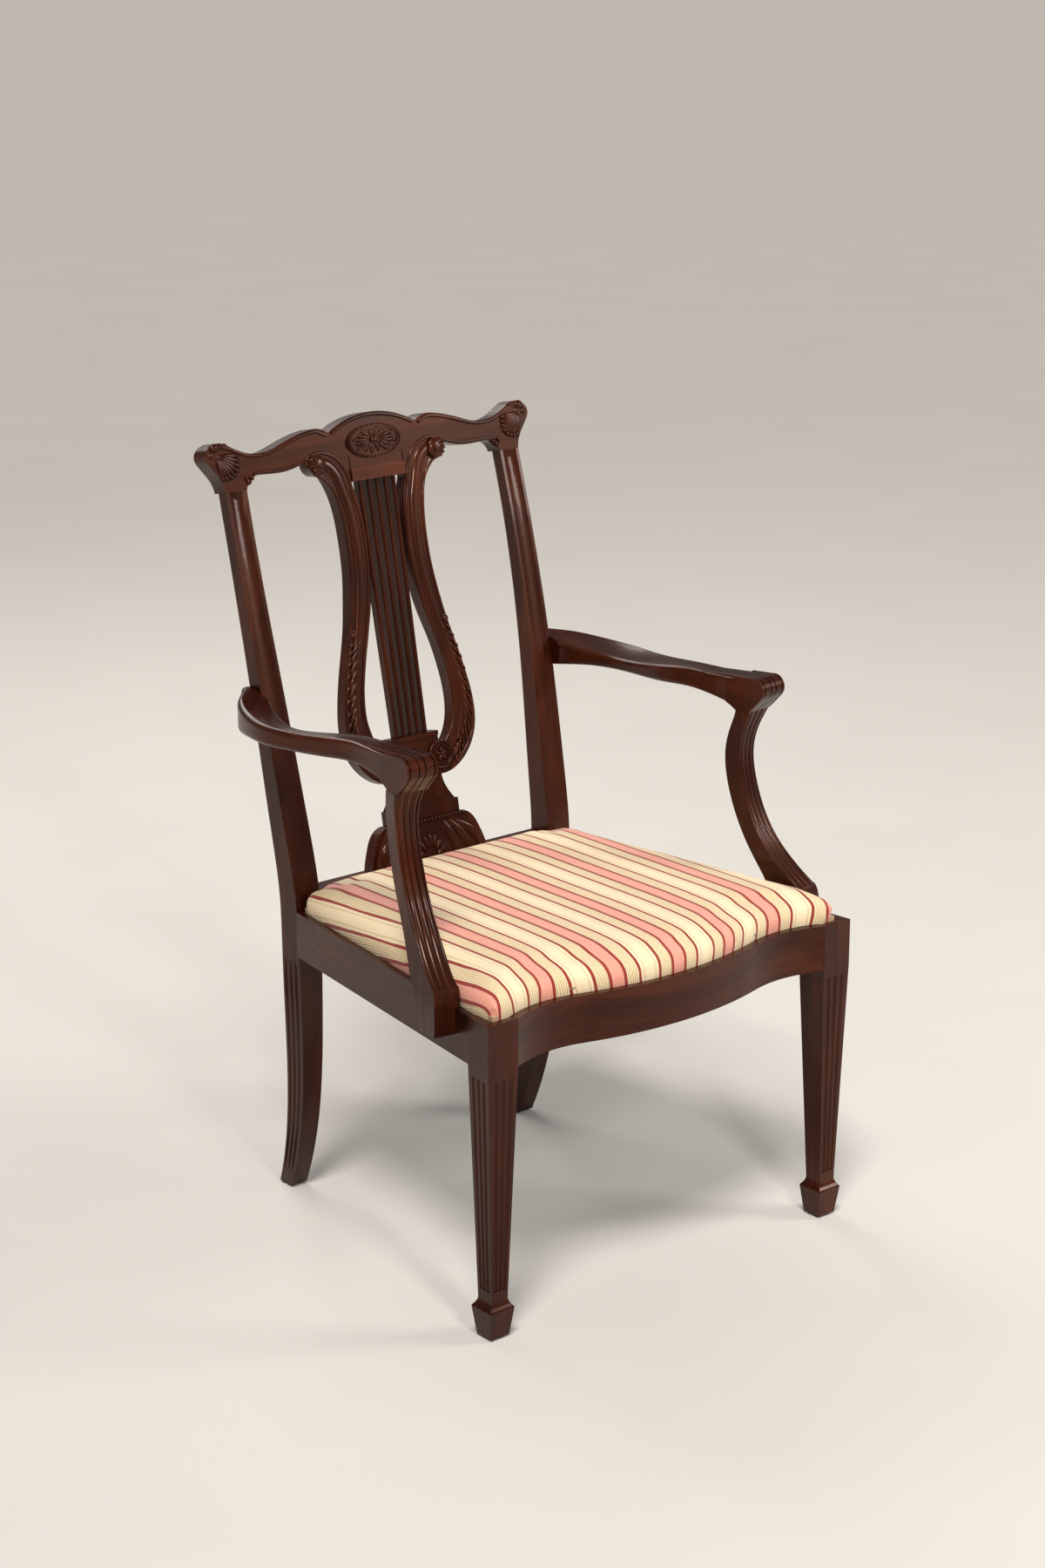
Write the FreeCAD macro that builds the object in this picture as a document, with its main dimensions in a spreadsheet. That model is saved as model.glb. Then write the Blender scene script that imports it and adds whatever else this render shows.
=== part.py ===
import FreeCAD, Part
import math
import os

# Armchair with a lyre splat, sawn and carved from mahogany, with a drop-in seat.
# Millimetres. X runs across the chair, -Y is the sitter's front, Z is up from the floor.

os.makedirs("parts", exist_ok=True)
doc = FreeCAD.newDocument("LyreBackArmchair")
Vector = FreeCAD.Vector
Placement = FreeCAD.Placement
Rotation = FreeCAD.Rotation

# Driving dimensions
driving = [
    ("origin_setback", 307.5, "front legs' front face to the origin, which is at mid depth"),
    ("rail_top", 405, "top of the seat rails"),
    ("rail_height", 60, "depth of the seat rails"),
    ("rail_thick", 24, "thickness of the seat rails"),
    ("rebate_depth", 14, "rebate in the rails that the seat drops into"),
    ("lip_width", 9, "lip of the rail left outside the rebate"),
    ("leg_half", 295, "centre line to the outer face of a front leg at the top"),
    ("leg_width", 45, "front leg across, at the seat"),
    ("leg_depth", 44, "front leg front to back, at the seat"),
    ("leg_bevel", 5, "how far the leg's outer face runs in to meet the side rail"),
    ("neck_size", 25, "square of the front leg just above the spade foot"),
    ("neck_height", 51, "height of that neck"),
    ("spade_size", 36.6, "square of the spade foot at its widest"),
    ("spade_height", 39, "height of its widest line"),
    ("spade_sole", 27.4, "square of the spade foot's sole"),
    ("spade_inset", 21.5, "leg's outer face to the foot's centre line"),
    ("spade_back", 19.2, "leg's front face to the foot's centre line"),
    ("flute_radius", 3.2, "radius of the flutes on the legs"),
    ("flute_sink", 2.0, "depth of the flutes"),
    ("flute_gap", 11.5, "spacing of the flutes at the seat"),
    ("flute_start", 12, "plain wood between the rail and the flutes"),
    ("glide_radius", 9.5, "nylon glide under each foot"),
    ("glide_height", 3, "thickness of the glide"),
    ("bow_reach", 13, "how far the serpentine rail stands ahead of the legs"),
    ("bow_radius", 480, "radius of its middle arc"),
    ("bow_half", 140, "centre line to where the curve turns over"),
    ("end_radius", 155, "radius of its end arcs"),
    ("seat_length", 468, "front face of the legs to the front face of the stiles"),
    ("stile_half", 229, "centre line to the outer face of a stile at the seat"),
    ("stile_width", 38, "stile across, at the seat"),
    ("post_mid_height", 600, "station on the stile where it is nearly upright in front view"),
    ("post_mid_half", 235, "centre line to the outer face of a stile at that station"),
    ("post_mid_width", 36, "stile across at that station"),
    ("foot_half", 207.5, "centre line to the outer face of a back foot"),
    ("shin_half", 215, "centre line to the outer face of the sabre leg at the shin"),
    ("shin_width", 29.5, "sabre leg across at the shin"),
    ("knee_half", 223, "centre line to the outer face of the sabre leg at the knee"),
    ("knee_width", 34.5, "sabre leg across at the knee"),
    ("foot_width", 24.5, "back foot across"),
    ("foot_depth", 28, "back foot front to back"),
    ("foot_sweep", 54, "how far the back foot stands behind the stile"),
    ("shin_height", 143, "station on the sabre leg"),
    ("shin_sweep", 14, "sweep of the leg at that station"),
    ("shin_depth", 36, "leg front to back at that station"),
    ("knee_height", 294, "station where the leg turns upright"),
    ("knee_sweep", 2, "sweep of the leg at that station"),
    ("knee_depth", 40, "leg front to back at that station"),
    ("bend_height", 425, "where the stile leaves the seat and leans back"),
    ("bend_sweep", 1.5, "stile behind its line at the seat, at the bend"),
    ("bend_depth", 37, "stile front to back there"),
    ("post_height", 930, "top of the stiles, under the crest rail"),
    ("post_half", 237, "centre line to the outer face of a stile at the top"),
    ("post_width", 32, "stile across, at the top"),
    ("post_depth", 22, "stile front to back, at the top"),
    ("post_lean", 120, "how far the top of the stile is behind the seat end"),
    ("post_turn_height", 500, "station just above the bend"),
    ("post_turn_lean", 14.6, "lean at that station"),
    ("arm_station_lean", 46, "lean of the stile at the joint with the arm"),
    ("post_hollow", 1.8, "depth of the hollow down the stile's front face"),
    ("post_bead", 4.5, "flat bead left on each side of that hollow"),
    ("rake", 11.7, "lean of the lyre and the crest, in degrees"),
    ("lyre_setback", 11, "stile's front face to the lyre's front face, at the rails"),
    ("crest_thick", 26, "crest rail front to back"),
    ("crest_half", 260.5, "centre line to the outermost point of an ear"),
    ("arch_height", 74, "top of the crest's middle arch, above its joint with the stiles"),
    ("arch_half", 70, "centre line to the notch beside the arch"),
    ("ear_height", 61, "top of an ear, above that joint"),
    ("crest_depth", 28, "crest rail top to bottom between arch and ear"),
    ("tablet_half", 42, "half width of the tablet under the arch"),
    ("tablet_foot", 10, "bottom edge of the tablet, below the joint with the stiles"),
    ("tablet_fillet", 16, "height of the tablet's lower moulding"),
    ("tablet_proud", 3, "how far that moulding stands forward"),
    ("patera_long", 43, "long half axis of the oval patera"),
    ("patera_short", 22, "short half axis of the patera"),
    ("patera_height", 38, "its centre, above the joint with the stiles"),
    ("patera_proud", 3, "height of its rim"),
    ("lyre_thick", 18, "lyre arm front to back"),
    ("lyre_waist", 65, "centre line to the lyre's outer edge at its waist"),
    ("lyre_swell", 107, "centre line to the lyre's outer edge at its widest"),
    ("lyre_band", 33, "width of a lyre arm"),
    ("scroll_radius", 13, "scroll at the top of a lyre arm"),
    ("scroll_out", 97, "centre line to the scroll's eye"),
    ("scroll_height", 18, "the scroll's eye, above the joint with the stiles"),
    ("roundel_radius", 19, "roundel at the foot of a lyre arm"),
    ("roundel_out", 37, "centre line to the roundel's eye"),
    ("roundel_height", 556, "height of the roundel's eye"),
    ("roundel_proud", 4, "how far the roundel stands forward"),
    ("bridge_top", 587, "top of the bridge block that carries the strings"),
    ("bridge_half", 39, "half width of the bridge block"),
    ("bridge_cap", 6, "height of the block's cap"),
    ("string_count", 5, "number of string bars"),
    ("string_width", 5.5, "a string bar across"),
    ("string_depth", 13, "a string bar front to back"),
    ("string_head", 60, "spread of the strings under the tablet"),
    ("string_foot", 52, "spread of the strings on the bridge"),
    ("neck_half", 37, "half width of the pedestal's neck, at its waist"),
    ("neck_top", 531, "top of the neck"),
    ("plinth_half", 56, "half width of the pedestal's plinth"),
    ("plinth_top", 496, "top of the plinth"),
    ("plinth_foot", 478, "bottom of the plinth"),
    ("bell_half", 96, "half width of the pedestal's bell at the shoe"),
    ("bell_proud", 5, "how far the bell swells forward"),
    ("shoe_height", 18, "height of the shoe that carries the pedestal"),
    ("shoe_depth", 34, "shoe front to back at the rail"),
    ("shoe_top_depth", 24, "shoe front to back at its top"),
    ("shoe_housing", 8, "how deep the pedestal's tongue sits in the shoe"),
    ("arm_thick", 31, "arm top to bottom at mid length"),
    ("arm_top", 692, "top of the arm at the knuckle"),
    ("arm_dip", 16, "how far the arm dips behind the knuckle"),
    ("arm_root_top", 688, "top of the arm at the stile"),
    ("arm_root_thick", 38, "arm top to bottom at the stile"),
    ("arm_joint", 648, "joint between arm and support"),
    ("knuckle_reach", 134, "leg's front face to the front of the knuckle"),
    ("knuckle_half", 280, "centre line to the middle of the knuckle"),
    ("knuckle_width", 42, "knuckle across"),
    ("arm_waist_half", 272, "centre line to the middle of the arm at its waist"),
    ("arm_waist_width", 35, "arm across at its waist"),
    ("arm_swell_half", 284, "centre line to the middle of the arm at its swell"),
    ("arm_swell_width", 47, "arm across at its swell"),
    ("support_base_half", 295, "centre line to the middle of the support at its base"),
    ("support_width", 34, "support across at its base"),
    ("support_mid_half", 274, "centre line to the middle of the support at its middle"),
    ("support_mid_width", 31, "support across at its middle"),
    ("support_base", 372, "bottom of the support on the side rail"),
    ("support_step", 429, "top of the plain block at the support's base"),
    ("support_turn", 8, "how far the support is turned in plan, in degrees"),
    ("reed_depth", 2.4, "depth of the channels down the support and knuckle"),
    ("tenon_length", 22, "length of the rail tenons"),
    ("tenon_thick", 9, "thickness of the rail tenons"),
    ("tenon_shoulder", 8, "shoulder above and below the rail tenons"),
    ("dowel_radius", 4, "dowels in arms, lyre and crest"),
    ("dowel_length", 30, "length of those dowels"),
    ("glue_gap", 0.15, "clearance round tenons, dowels and screws"),
    ("block_leg", 62, "corner block along each rail"),
    ("block_height", 38, "corner block top to bottom"),
    ("screw_radius", 2.2, "wood screw shank"),
    ("screw_head", 4.4, "wood screw head radius"),
    ("screw_length", 45, "corner block screw"),
    ("seat_gap", 2.5, "gap between the lip and the seat frame"),
    ("frame_width", 50, "width of the seat frame's rails"),
    ("frame_thick", 18, "thickness of the seat frame's rails"),
    ("web_thick", 1.5, "webbing thickness"),
    ("web_width", 50, "webbing width"),
    ("web_count_x", 4, "webbing straps from side to side"),
    ("web_count_y", 4, "webbing straps from front to back"),
    ("pad_edge", 14, "height of the pad's edge above the webbing"),
    ("pad_crown", 28.5, "height of the pad's crown above the webbing"),
    ("cover_thick", 1.6, "seat cover thickness"),
    ("cover_gap", 0.3, "slack between pad and cover"),
    ("cambric_thick", 0.8, "black dust cover under the seat"),
]
sheet = doc.addObject("Spreadsheet::Sheet", "Sizes")
for row, (alias, value, note) in enumerate(driving, start=1):
    sheet.set(f"A{row}", note)
    sheet.set(f"B{row}", str(value))
    sheet.setAlias(f"B{row}", alias)
doc.recompute()


class Sizes:
    """The sheet's values, read back by name."""


size = Sizes()
for alias, value, note in driving:
    setattr(size, alias, float(sheet.get(alias)))

front = -size.origin_setback
rail_foot = size.rail_top - size.rail_height
stile_front = front + size.seat_length
sides = {"left": -1, "right": 1}
pieces = []


# Helpers for the document
def bind(thing, prop, expression):
    thing.setExpression(prop, expression)


def cell(alias):
    return f"Sizes.{alias}"


def keep(thing, label):
    thing.Label = label
    pieces.append(thing)
    return thing


def new_body(label):
    body = doc.addObject("PartDesign::Body", label)
    return body


def origin_plane(body, role):
    return next(f for f in body.Origin.OriginFeatures if f.Role == role)


def new_sketch(body, role, name, place=None):
    sketch = body.newObject("Sketcher::SketchObject", name)
    sketch.AttachmentSupport = [(origin_plane(body, role), "")]
    sketch.MapMode = "FlatFace"
    if place is not None:
        sketch.AttachmentOffset = place
    return sketch


def draw(sketch, edges):
    """Adds edges end to end and ties each to the next."""
    first = len(sketch.Geometry)
    for edge in edges:
        sketch.addGeometry(edge, False)
    return first


def line(a, b):
    return Part.LineSegment(Vector(*a, 0), Vector(*b, 0))


def arc(a, b, c):
    return Part.Arc(Vector(*a, 0), Vector(*b, 0), Vector(*c, 0))


def smooth(points):
    curve = Part.BSplineCurve()
    curve.interpolate([Vector(x, y, 0) for x, y in points])
    return curve


def polygon(points):
    return [line(a, b) for a, b in zip(points, points[1:] + points[:1])]


def pad(body, sketch, name, length, midplane=False, reverse=False):
    feature = body.newObject("PartDesign::Pad", name)
    feature.Profile = sketch
    if isinstance(length, str):
        feature.Length = 10
        bind(feature, "Length", length)
    else:
        feature.Length = length
    feature.Midplane = midplane
    feature.Reversed = reverse
    body.Tip = feature
    return feature


def pocket(body, sketch, name, length, midplane=False, reverse=False):
    feature = body.newObject("PartDesign::Pocket", name)
    feature.Profile = sketch
    if isinstance(length, str):
        feature.Length = 10
        bind(feature, "Length", length)
    else:
        feature.Length = length
    feature.Midplane = midplane
    feature.Reversed = reverse
    body.Tip = feature
    return feature


def loft(body, sketches, name, ruled=False):
    feature = body.newObject("PartDesign::AdditiveLoft", name)
    feature.Profile = sketches[0]
    feature.Sections = sketches[1:]
    feature.Ruled = ruled
    body.Tip = feature
    return feature


def raised(height):
    return Placement(Vector(0, 0, height), Rotation())


def cylinder(name, radius, height, base, direction):
    thing = doc.addObject("Part::Cylinder", name)
    bind(thing, "Radius", radius)
    if isinstance(height, str):
        bind(thing, "Height", height)
    else:
        thing.Height = height
    thing.Placement = Placement(base, Rotation(Vector(0, 0, 1), direction))
    return thing


def fuse(name, things):
    joined = doc.addObject("Part::MultiFuse", name)
    joined.Shapes = things
    return joined


def group(name, things):
    together = doc.addObject("Part::Compound", name)
    together.Links = things
    return together


def cut(name, base, tools):
    result = doc.addObject("Part::Cut", name)
    result.Base = base
    result.Tool = tools[0] if len(tools) == 1 else fuse(name + "Tools", tools)
    return result


def blend(values, stations, at):
    """Natural cubic through a few stations, used for gentle curves in wood."""
    curve = Part.BSplineCurve()
    curve.interpolate([Vector(a, b, 0) for a, b in zip(stations, values)])
    lowest, highest = curve.FirstParameter, curve.LastParameter
    for step in range(50):
        middle = (lowest + highest) / 2
        if curve.value(middle).x < at:
            lowest = middle
        else:
            highest = middle
    return curve.value((lowest + highest) / 2).y


def mirrored(points, s):
    return [(s * x, y) for x, y in points]


def socket(body, name, place, length, width, height):
    """A square hole; place is in the chair's frame, at the hole's corner."""
    hole = body.newObject("PartDesign::SubtractiveBox", name)
    hole.Length, hole.Width, hole.Height = length, width, height
    hole.Placement = body.Placement.inverse() * place
    body.Tip = hole
    return hole


def tongue(body, name, place, length, width, height):
    """A square tenon; place is in the chair's frame, at the tenon's corner."""
    tenon = body.newObject("PartDesign::AdditiveBox", name)
    tenon.Length, tenon.Width, tenon.Height = length, width, height
    tenon.Placement = body.Placement.inverse() * place
    body.Tip = tenon
    return tenon


def bore(body, name, place, radius, length):
    """A round hole along the placement's Z axis."""
    hole = body.newObject("PartDesign::SubtractiveCylinder", name)
    hole.Radius, hole.Height = radius, length
    hole.Placement = body.Placement.inverse() * place
    body.Tip = hole
    return hole


def aim(point, direction):
    return Placement(Vector(*point), Rotation(Vector(0, 0, 1), Vector(*direction)))


def at(x, y, z):
    return Placement(Vector(x, y, z), Rotation())


# The frame of the back: X across, Y up the slope, Z out of the front face
back = Placement(
    Vector(0, stile_front + size.lyre_setback, size.rail_top),
    Rotation(Vector(1, 0, 0), 90 - size.rake),
)
slope = math.cos(math.radians(size.rake))


def up(height):
    """Distance up the slope of the back for a height above the floor."""
    return (height - size.rail_top) / slope


def risen(points):
    return [(x, up(z)) for x, z in points]


def section(s, x_in, x_out, y_front, y_back, corner, hollow, bead):
    """Stile seen from above: beads and hollow in front, rounded corners behind."""
    def spot(x, y):
        return (s * x, y)

    turn = corner * (1 - math.sqrt(0.5))
    middle = (x_in + x_out) / 2
    return [
        line(spot(x_in, y_front), spot(x_in + bead, y_front)),
        arc(spot(x_in + bead, y_front), spot(middle, y_front + hollow), spot(x_out - bead, y_front)),
        line(spot(x_out - bead, y_front), spot(x_out, y_front)),
        line(spot(x_out, y_front), spot(x_out, y_back - corner)),
        arc(spot(x_out, y_back - corner), spot(x_out - turn, y_back - turn), spot(x_out - corner, y_back)),
        line(spot(x_out - corner, y_back), spot(x_in + corner, y_back)),
        arc(spot(x_in + corner, y_back), spot(x_in + turn, y_back - turn), spot(x_in, y_back - corner)),
        line(spot(x_in, y_back - corner), spot(x_in, y_front)),
    ]


# Curves of the stiles, each through a few heights
stile_heights = [
    size.glide_height,
    size.shin_height,
    size.knee_height,
    size.bend_height,
    size.post_mid_height,
    size.post_height,
]
stile_halves = [
    size.foot_half,
    size.shin_half,
    size.knee_half,
    size.stile_half,
    size.post_mid_half,
    size.post_half,
]
stile_widths = [
    size.foot_width,
    size.shin_width,
    size.knee_width,
    size.stile_width,
    size.post_mid_width,
    size.post_width,
]
stile_depths = [
    size.foot_depth,
    size.shin_depth,
    size.knee_depth,
    size.bend_depth,
    (size.bend_depth + size.post_depth) / 2 + 1,
    size.post_depth,
]
lean_heights = [
    size.glide_height,
    size.shin_height,
    size.knee_height,
    rail_foot + 15,
    size.bend_height,
    size.post_turn_height,
    size.arm_joint,
    size.post_height,
]
leans = [
    size.foot_sweep,
    size.shin_sweep,
    size.knee_sweep,
    0,
    size.bend_sweep,
    size.post_turn_lean,
    size.arm_station_lean,
    size.post_lean,
]


def stile_out(z):
    return blend(stile_halves, stile_heights, z)


def stile_in(z):
    return stile_out(z) - blend(stile_widths, stile_heights, z)


def stile_fore(z):
    return stile_front + blend(leans, lean_heights, z)


def stile_aft(z):
    return stile_fore(z) + blend(stile_depths, stile_heights, z)


crest_joint = size.post_height - 1
tablet_foot = crest_joint - size.tablet_foot
tenon_half = 5
bodies = {}


def stile(name, s):
    body = new_body(name)
    leg = [size.glide_height, 50, 97, size.shin_height, 220, size.knee_height, 360, size.bend_height]
    post = [size.bend_height, size.post_turn_height, 575, 650, 725, 800, 870, 945]
    for part_name, heights in (("Leg", leg), ("Post", post)):
        sketches = []
        for number, z in enumerate(heights):
            sketch = new_sketch(body, "XY_Plane", f"{part_name}{number}", raised(z))
            hollow = 0.1
            if z > size.bend_height:
                hollow = size.post_hollow if z > size.arm_joint + 30 else size.post_hollow / 2
            corner = 3 if part_name == "Leg" else 3 + 3 * (z - size.bend_height) / 500
            low = min(z, size.post_height)
            ahead = stile_fore(low) + (z - low) * (leans[-1] - leans[-2]) / (lean_heights[-1] - lean_heights[-2])
            behind = ahead + stile_aft(low) - stile_fore(low)
            draw(sketch, section(
                s, stile_in(low), stile_out(low), ahead, behind, corner, hollow, size.post_bead))
            sketches.append(sketch)
        loft(body, sketches, part_name)
    # Top sawn square to the slope of the back
    waste = back * at(-400, up(crest_joint), -100)
    socket(body, "TopCut", waste, 800, 60, 200)
    # Tenon into the crest rail
    middle = (stile_in(crest_joint) + stile_out(crest_joint)) / 2
    place = back * at(s * middle - 8, up(crest_joint) - 2, -17)
    tongue(body, "TopTenon", place, 16, 20, 9)
    # Three flutes down the outer face of the sabre leg
    flute_heights = [rail_foot - 5, rail_foot - 20, 250, 160, 90, 40, 22]
    for row in (-1, 0, 1):
        sketches = []
        for number, z in enumerate(flute_heights):
            sketch = new_sketch(body, "XY_Plane", f"Flute{row + 1}{number}", raised(z))
            radius = size.flute_radius * (0.62 + 0.38 * z / rail_foot)
            end = number in (0, len(flute_heights) - 1)
            sink = -0.4 if end else size.flute_sink
            middle = (stile_fore(z) + stile_aft(z)) / 2
            y = middle + row * (stile_aft(z) - stile_fore(z)) * 0.27
            mouth = s * (stile_out(z) + 1)
            half = math.sqrt(radius ** 2 - (radius - size.flute_sink - 1) ** 2)
            bottom = (s * (stile_out(z) - sink), y)
            draw(sketch, [
                arc((mouth, y - half), bottom, (mouth, y + half)),
                line((mouth, y + half), (mouth, y - half)),
            ])
            sketches.append(sketch)
        flute = body.newObject("PartDesign::SubtractiveLoft", f"FluteCut{row + 1}")
        flute.Profile = sketches[0]
        flute.Sections = sketches[1:]
        body.Tip = flute
    # Mortises for the side rail and the rear rail
    gap = size.glue_gap
    low = rail_foot + size.tenon_shoulder
    tall = size.rail_height - size.rebate_depth - 2 * size.tenon_shoulder
    x = s * (size.stile_half - size.rail_thick / 2) - size.tenon_thick / 2
    socket(body, "SideMortise", at(x - gap, stile_front - 5, low - gap),
           size.tenon_thick + 2 * gap, size.tenon_length + 5 + gap, tall + 2 * gap)
    inner = size.stile_half - size.stile_width
    x0 = s * (inner + 7) - 12 - gap
    socket(body, "RearMortise", at(x0, stile_front + 14 - gap, low - gap),
           24 + 2 * gap, size.tenon_thick + 2 * gap, tall + 2 * gap)
    bodies[name] = body
    return keep(body, name)


for side, s in sides.items():
    stile(f"{side}_stile", s)


# Front legs: square block at the seat, taper, spade foot
def front_leg(name, s):
    body = new_body(name)
    out = size.leg_half
    inner = out - size.leg_width
    y0 = front
    y1 = front + size.leg_depth
    top = mirrored([(inner, y0), (out, y0), (out - size.leg_bevel, y1), (inner, y1)], s)
    block = new_sketch(body, "XY_Plane", "BlockPlan", raised(rail_foot))
    bind(block, "AttachmentOffset.Base.z", "Sizes.rail_top - Sizes.rail_height")
    draw(block, polygon(top))
    pad(body, block, "Block", cell("rail_height"))
    cx = out - size.spade_inset
    cy = front + size.spade_back

    def square(side):
        h = side / 2
        return mirrored([(cx - h, cy - h), (cx + h, cy - h), (cx + h, cy + h), (cx - h, cy + h)], s)

    stations = [
        (rail_foot, top),
        (size.neck_height, square(size.neck_size)),
    ]
    spade = [
        (size.neck_height, square(size.neck_size)),
        (size.neck_height - 3, square(size.neck_size + 1)),
        (size.spade_height + 5, square(size.neck_size + 5)),
        (size.spade_height + 2, square(size.spade_size - 2)),
        (size.spade_height, square(size.spade_size)),
        (size.glide_height, square(size.spade_sole)),
    ]
    for label, rows in (("Taper", stations), ("Spade", spade)):
        sketches = []
        for number, (z, outline) in enumerate(rows):
            sketch = new_sketch(body, "XY_Plane", f"{label}{number}", raised(z))
            draw(sketch, polygon(outline))
            sketches.append(sketch)
        loft(body, sketches, label + "Loft", ruled=True)
    # Flutes down the front and the outer face
    high = rail_foot - size.flute_start
    low = size.neck_height + 12
    share = size.neck_size / size.leg_width
    for row in (-1, 0, 1):
        for face in ("Front", "Side"):
            sketches = []
            for number, z in enumerate((high, low)):
                ratio = (z - size.neck_height) / (rail_foot - size.neck_height)
                radius = size.flute_radius * (0.72 + 0.28 * ratio)
                spread = size.flute_gap * (share + (1 - share) * ratio) * row
                mid_x = cx + (out - size.leg_width / 2 - size.leg_bevel / 4 - cx) * ratio
                mid_y = cy + (y0 + size.leg_depth / 2 - cy) * ratio
                face_x = cx + size.neck_size / 2 + (out - size.leg_bevel / 2 - cx - size.neck_size / 2) * ratio
                face_y = cy - size.neck_size / 2 + (y0 - cy + size.neck_size / 2) * ratio
                if face == "Front":
                    x, y = mid_x + spread, face_y - radius + size.flute_sink
                else:
                    x, y = face_x + radius - size.flute_sink, mid_y + spread
                    x -= size.leg_bevel * ratio * spread / size.leg_depth
                sketch = new_sketch(body, "XY_Plane", f"{face}Flute{row + 1}{number}", raised(z))
                draw(sketch, [Part.Circle(Vector(s * x, y, 0), Vector(0, 0, 1), radius)])
                sketches.append(sketch)
            flute = body.newObject("PartDesign::SubtractiveLoft", f"{face}FluteCut{row + 1}")
            flute.Profile = sketches[0]
            flute.Sections = sketches[1:]
            body.Tip = flute
    # Rebate for the seat and mortises for the rails
    gap = size.glue_gap
    lip = size.lip_width
    x0, x1 = sorted((s * (inner - 1), s * (out - size.leg_bevel - lip)))
    socket(body, "SeatRebate", at(x0, y0 + lip + 0.5, size.rail_top - size.rebate_depth),
           x1 - x0, size.leg_depth, size.rebate_depth + 1)
    low = rail_foot + size.tenon_shoulder
    tall = size.rail_height - size.rebate_depth - 2 * size.tenon_shoulder
    x0, x1 = sorted((s * (inner - 1), s * (inner + 18 + gap)))
    socket(body, "FrontMortise", at(x0, y0 + 19 - gap, low - gap),
           x1 - x0, size.tenon_thick + 2 * gap, tall + 2 * gap)
    x = s * (out - size.leg_bevel - size.rail_thick / 2) - size.tenon_thick / 2
    socket(body, "SideMortise", at(x - gap, y1 - size.tenon_length + 5 - gap, low - gap),
           size.tenon_thick + 2 * gap, size.tenon_length + 5, tall + 2 * gap)
    bodies[name] = body
    return keep(body, name)


for side, s in sides.items():
    front_leg(f"front_{side}_leg", s)


# Seat rails
leg_inner = size.leg_half - size.leg_width
leg_back = front + size.leg_depth
rail_back = front + 34
rail_lean = (size.leg_half - size.leg_bevel - size.stile_half) / (stile_front - leg_back)
tenon_low = rail_foot + size.tenon_shoulder
tenon_tall = size.rail_height - size.rebate_depth - 2 * size.tenon_shoulder


def serpentine(inset):
    """Front curve of the chair, as three arcs through points; inset moves it back."""
    radius = size.bow_radius - inset
    tip = front - size.bow_reach + inset
    drop = radius - math.sqrt(radius ** 2 - size.bow_half ** 2)
    bend = math.asin(size.bow_half / radius)
    turn_x, turn_y = size.bow_half, tip + drop
    small = size.end_radius + inset
    cx = turn_x + small * math.sin(bend)
    cy = turn_y - small * math.cos(bend)

    def on_end(x):
        return cy + math.sqrt(small ** 2 - (x - cx) ** 2)

    return tip, turn_x, turn_y, on_end


def serpentine_edges(inset, half):
    tip, turn_x, turn_y, on_end = serpentine(inset)
    near = (turn_x + half) / 2
    return [
        arc((-half, on_end(half)), (-near, on_end(near)), (-turn_x, turn_y)),
        arc((-turn_x, turn_y), (0, tip), (turn_x, turn_y)),
        arc((turn_x, turn_y), (near, on_end(near)), (half, on_end(half))),
    ], on_end(half)


def front_seat_rail():
    body = new_body("front_seat_rail")
    plan = new_sketch(body, "XY_Plane", "Plan", raised(rail_foot))
    bind(plan, "AttachmentOffset.Base.z", "Sizes.rail_top - Sizes.rail_height")
    edges, end = serpentine_edges(0, leg_inner)
    draw(plan, edges + [
        line((leg_inner, end), (leg_inner, rail_back)),
        line((leg_inner, rail_back), (-leg_inner, rail_back)),
        line((-leg_inner, rail_back), (-leg_inner, end)),
    ])
    pad(body, plan, "Rail", cell("rail_height"))
    rebate = new_sketch(body, "XY_Plane", "RebatePlan", raised(size.rail_top))
    bind(rebate, "AttachmentOffset.Base.z", cell("rail_top"))
    edges, end = serpentine_edges(size.lip_width, leg_inner)
    draw(rebate, edges + [
        line((leg_inner, end), (leg_inner, rail_back + 5)),
        line((leg_inner, rail_back + 5), (-leg_inner, rail_back + 5)),
        line((-leg_inner, rail_back + 5), (-leg_inner, end)),
    ])
    pocket(body, rebate, "Rebate", cell("rebate_depth"))
    for s in (-1, 1):
        x0, x1 = sorted((s * (leg_inner - 2), s * (leg_inner + 18)))
        tongue(body, f"Tenon{s + 1}", at(x0, front + 19, tenon_low), x1 - x0, size.tenon_thick, tenon_tall)
    bodies["front_seat_rail"] = body
    keep(body, "front_seat_rail")


front_seat_rail()

stile_inner = size.stile_half - size.stile_width
rear_face = stile_front + 1
rear_back = stile_front + 34


def rear_seat_rail():
    body = new_body("rear_seat_rail")
    plan = new_sketch(body, "XY_Plane", "Plan", raised(rail_foot))
    bind(plan, "AttachmentOffset.Base.z", "Sizes.rail_top - Sizes.rail_height")
    half_low = stile_in(rail_foot + 30) - 0.05
    draw(plan, polygon([
        (-half_low, rear_face), (half_low, rear_face), (half_low, rear_back), (-half_low, rear_back)]))
    pad(body, plan, "Rail", cell("rail_height"))
    socket(body, "Rebate", at(-300, rear_face - 1, size.rail_top - size.rebate_depth),
           600, 12, size.rebate_depth + 1)
    for s in (-1, 1):
        x0, x1 = sorted((s * (half_low - 2), s * (stile_inner + 15)))
        tongue(body, f"Tenon{s + 1}", at(x0, stile_front + 14, tenon_low), x1 - x0, size.tenon_thick, tenon_tall)
    bodies["rear_seat_rail"] = body
    keep(body, "rear_seat_rail")


rear_seat_rail()


def rail_outer(y):
    """Outer face of a side rail at a given depth in the chair."""
    return size.leg_half - size.leg_bevel - rail_lean * (y - leg_back)


across = size.rail_thick / math.cos(math.atan(rail_lean))
lip_across = size.lip_width / math.cos(math.atan(rail_lean))


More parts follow.
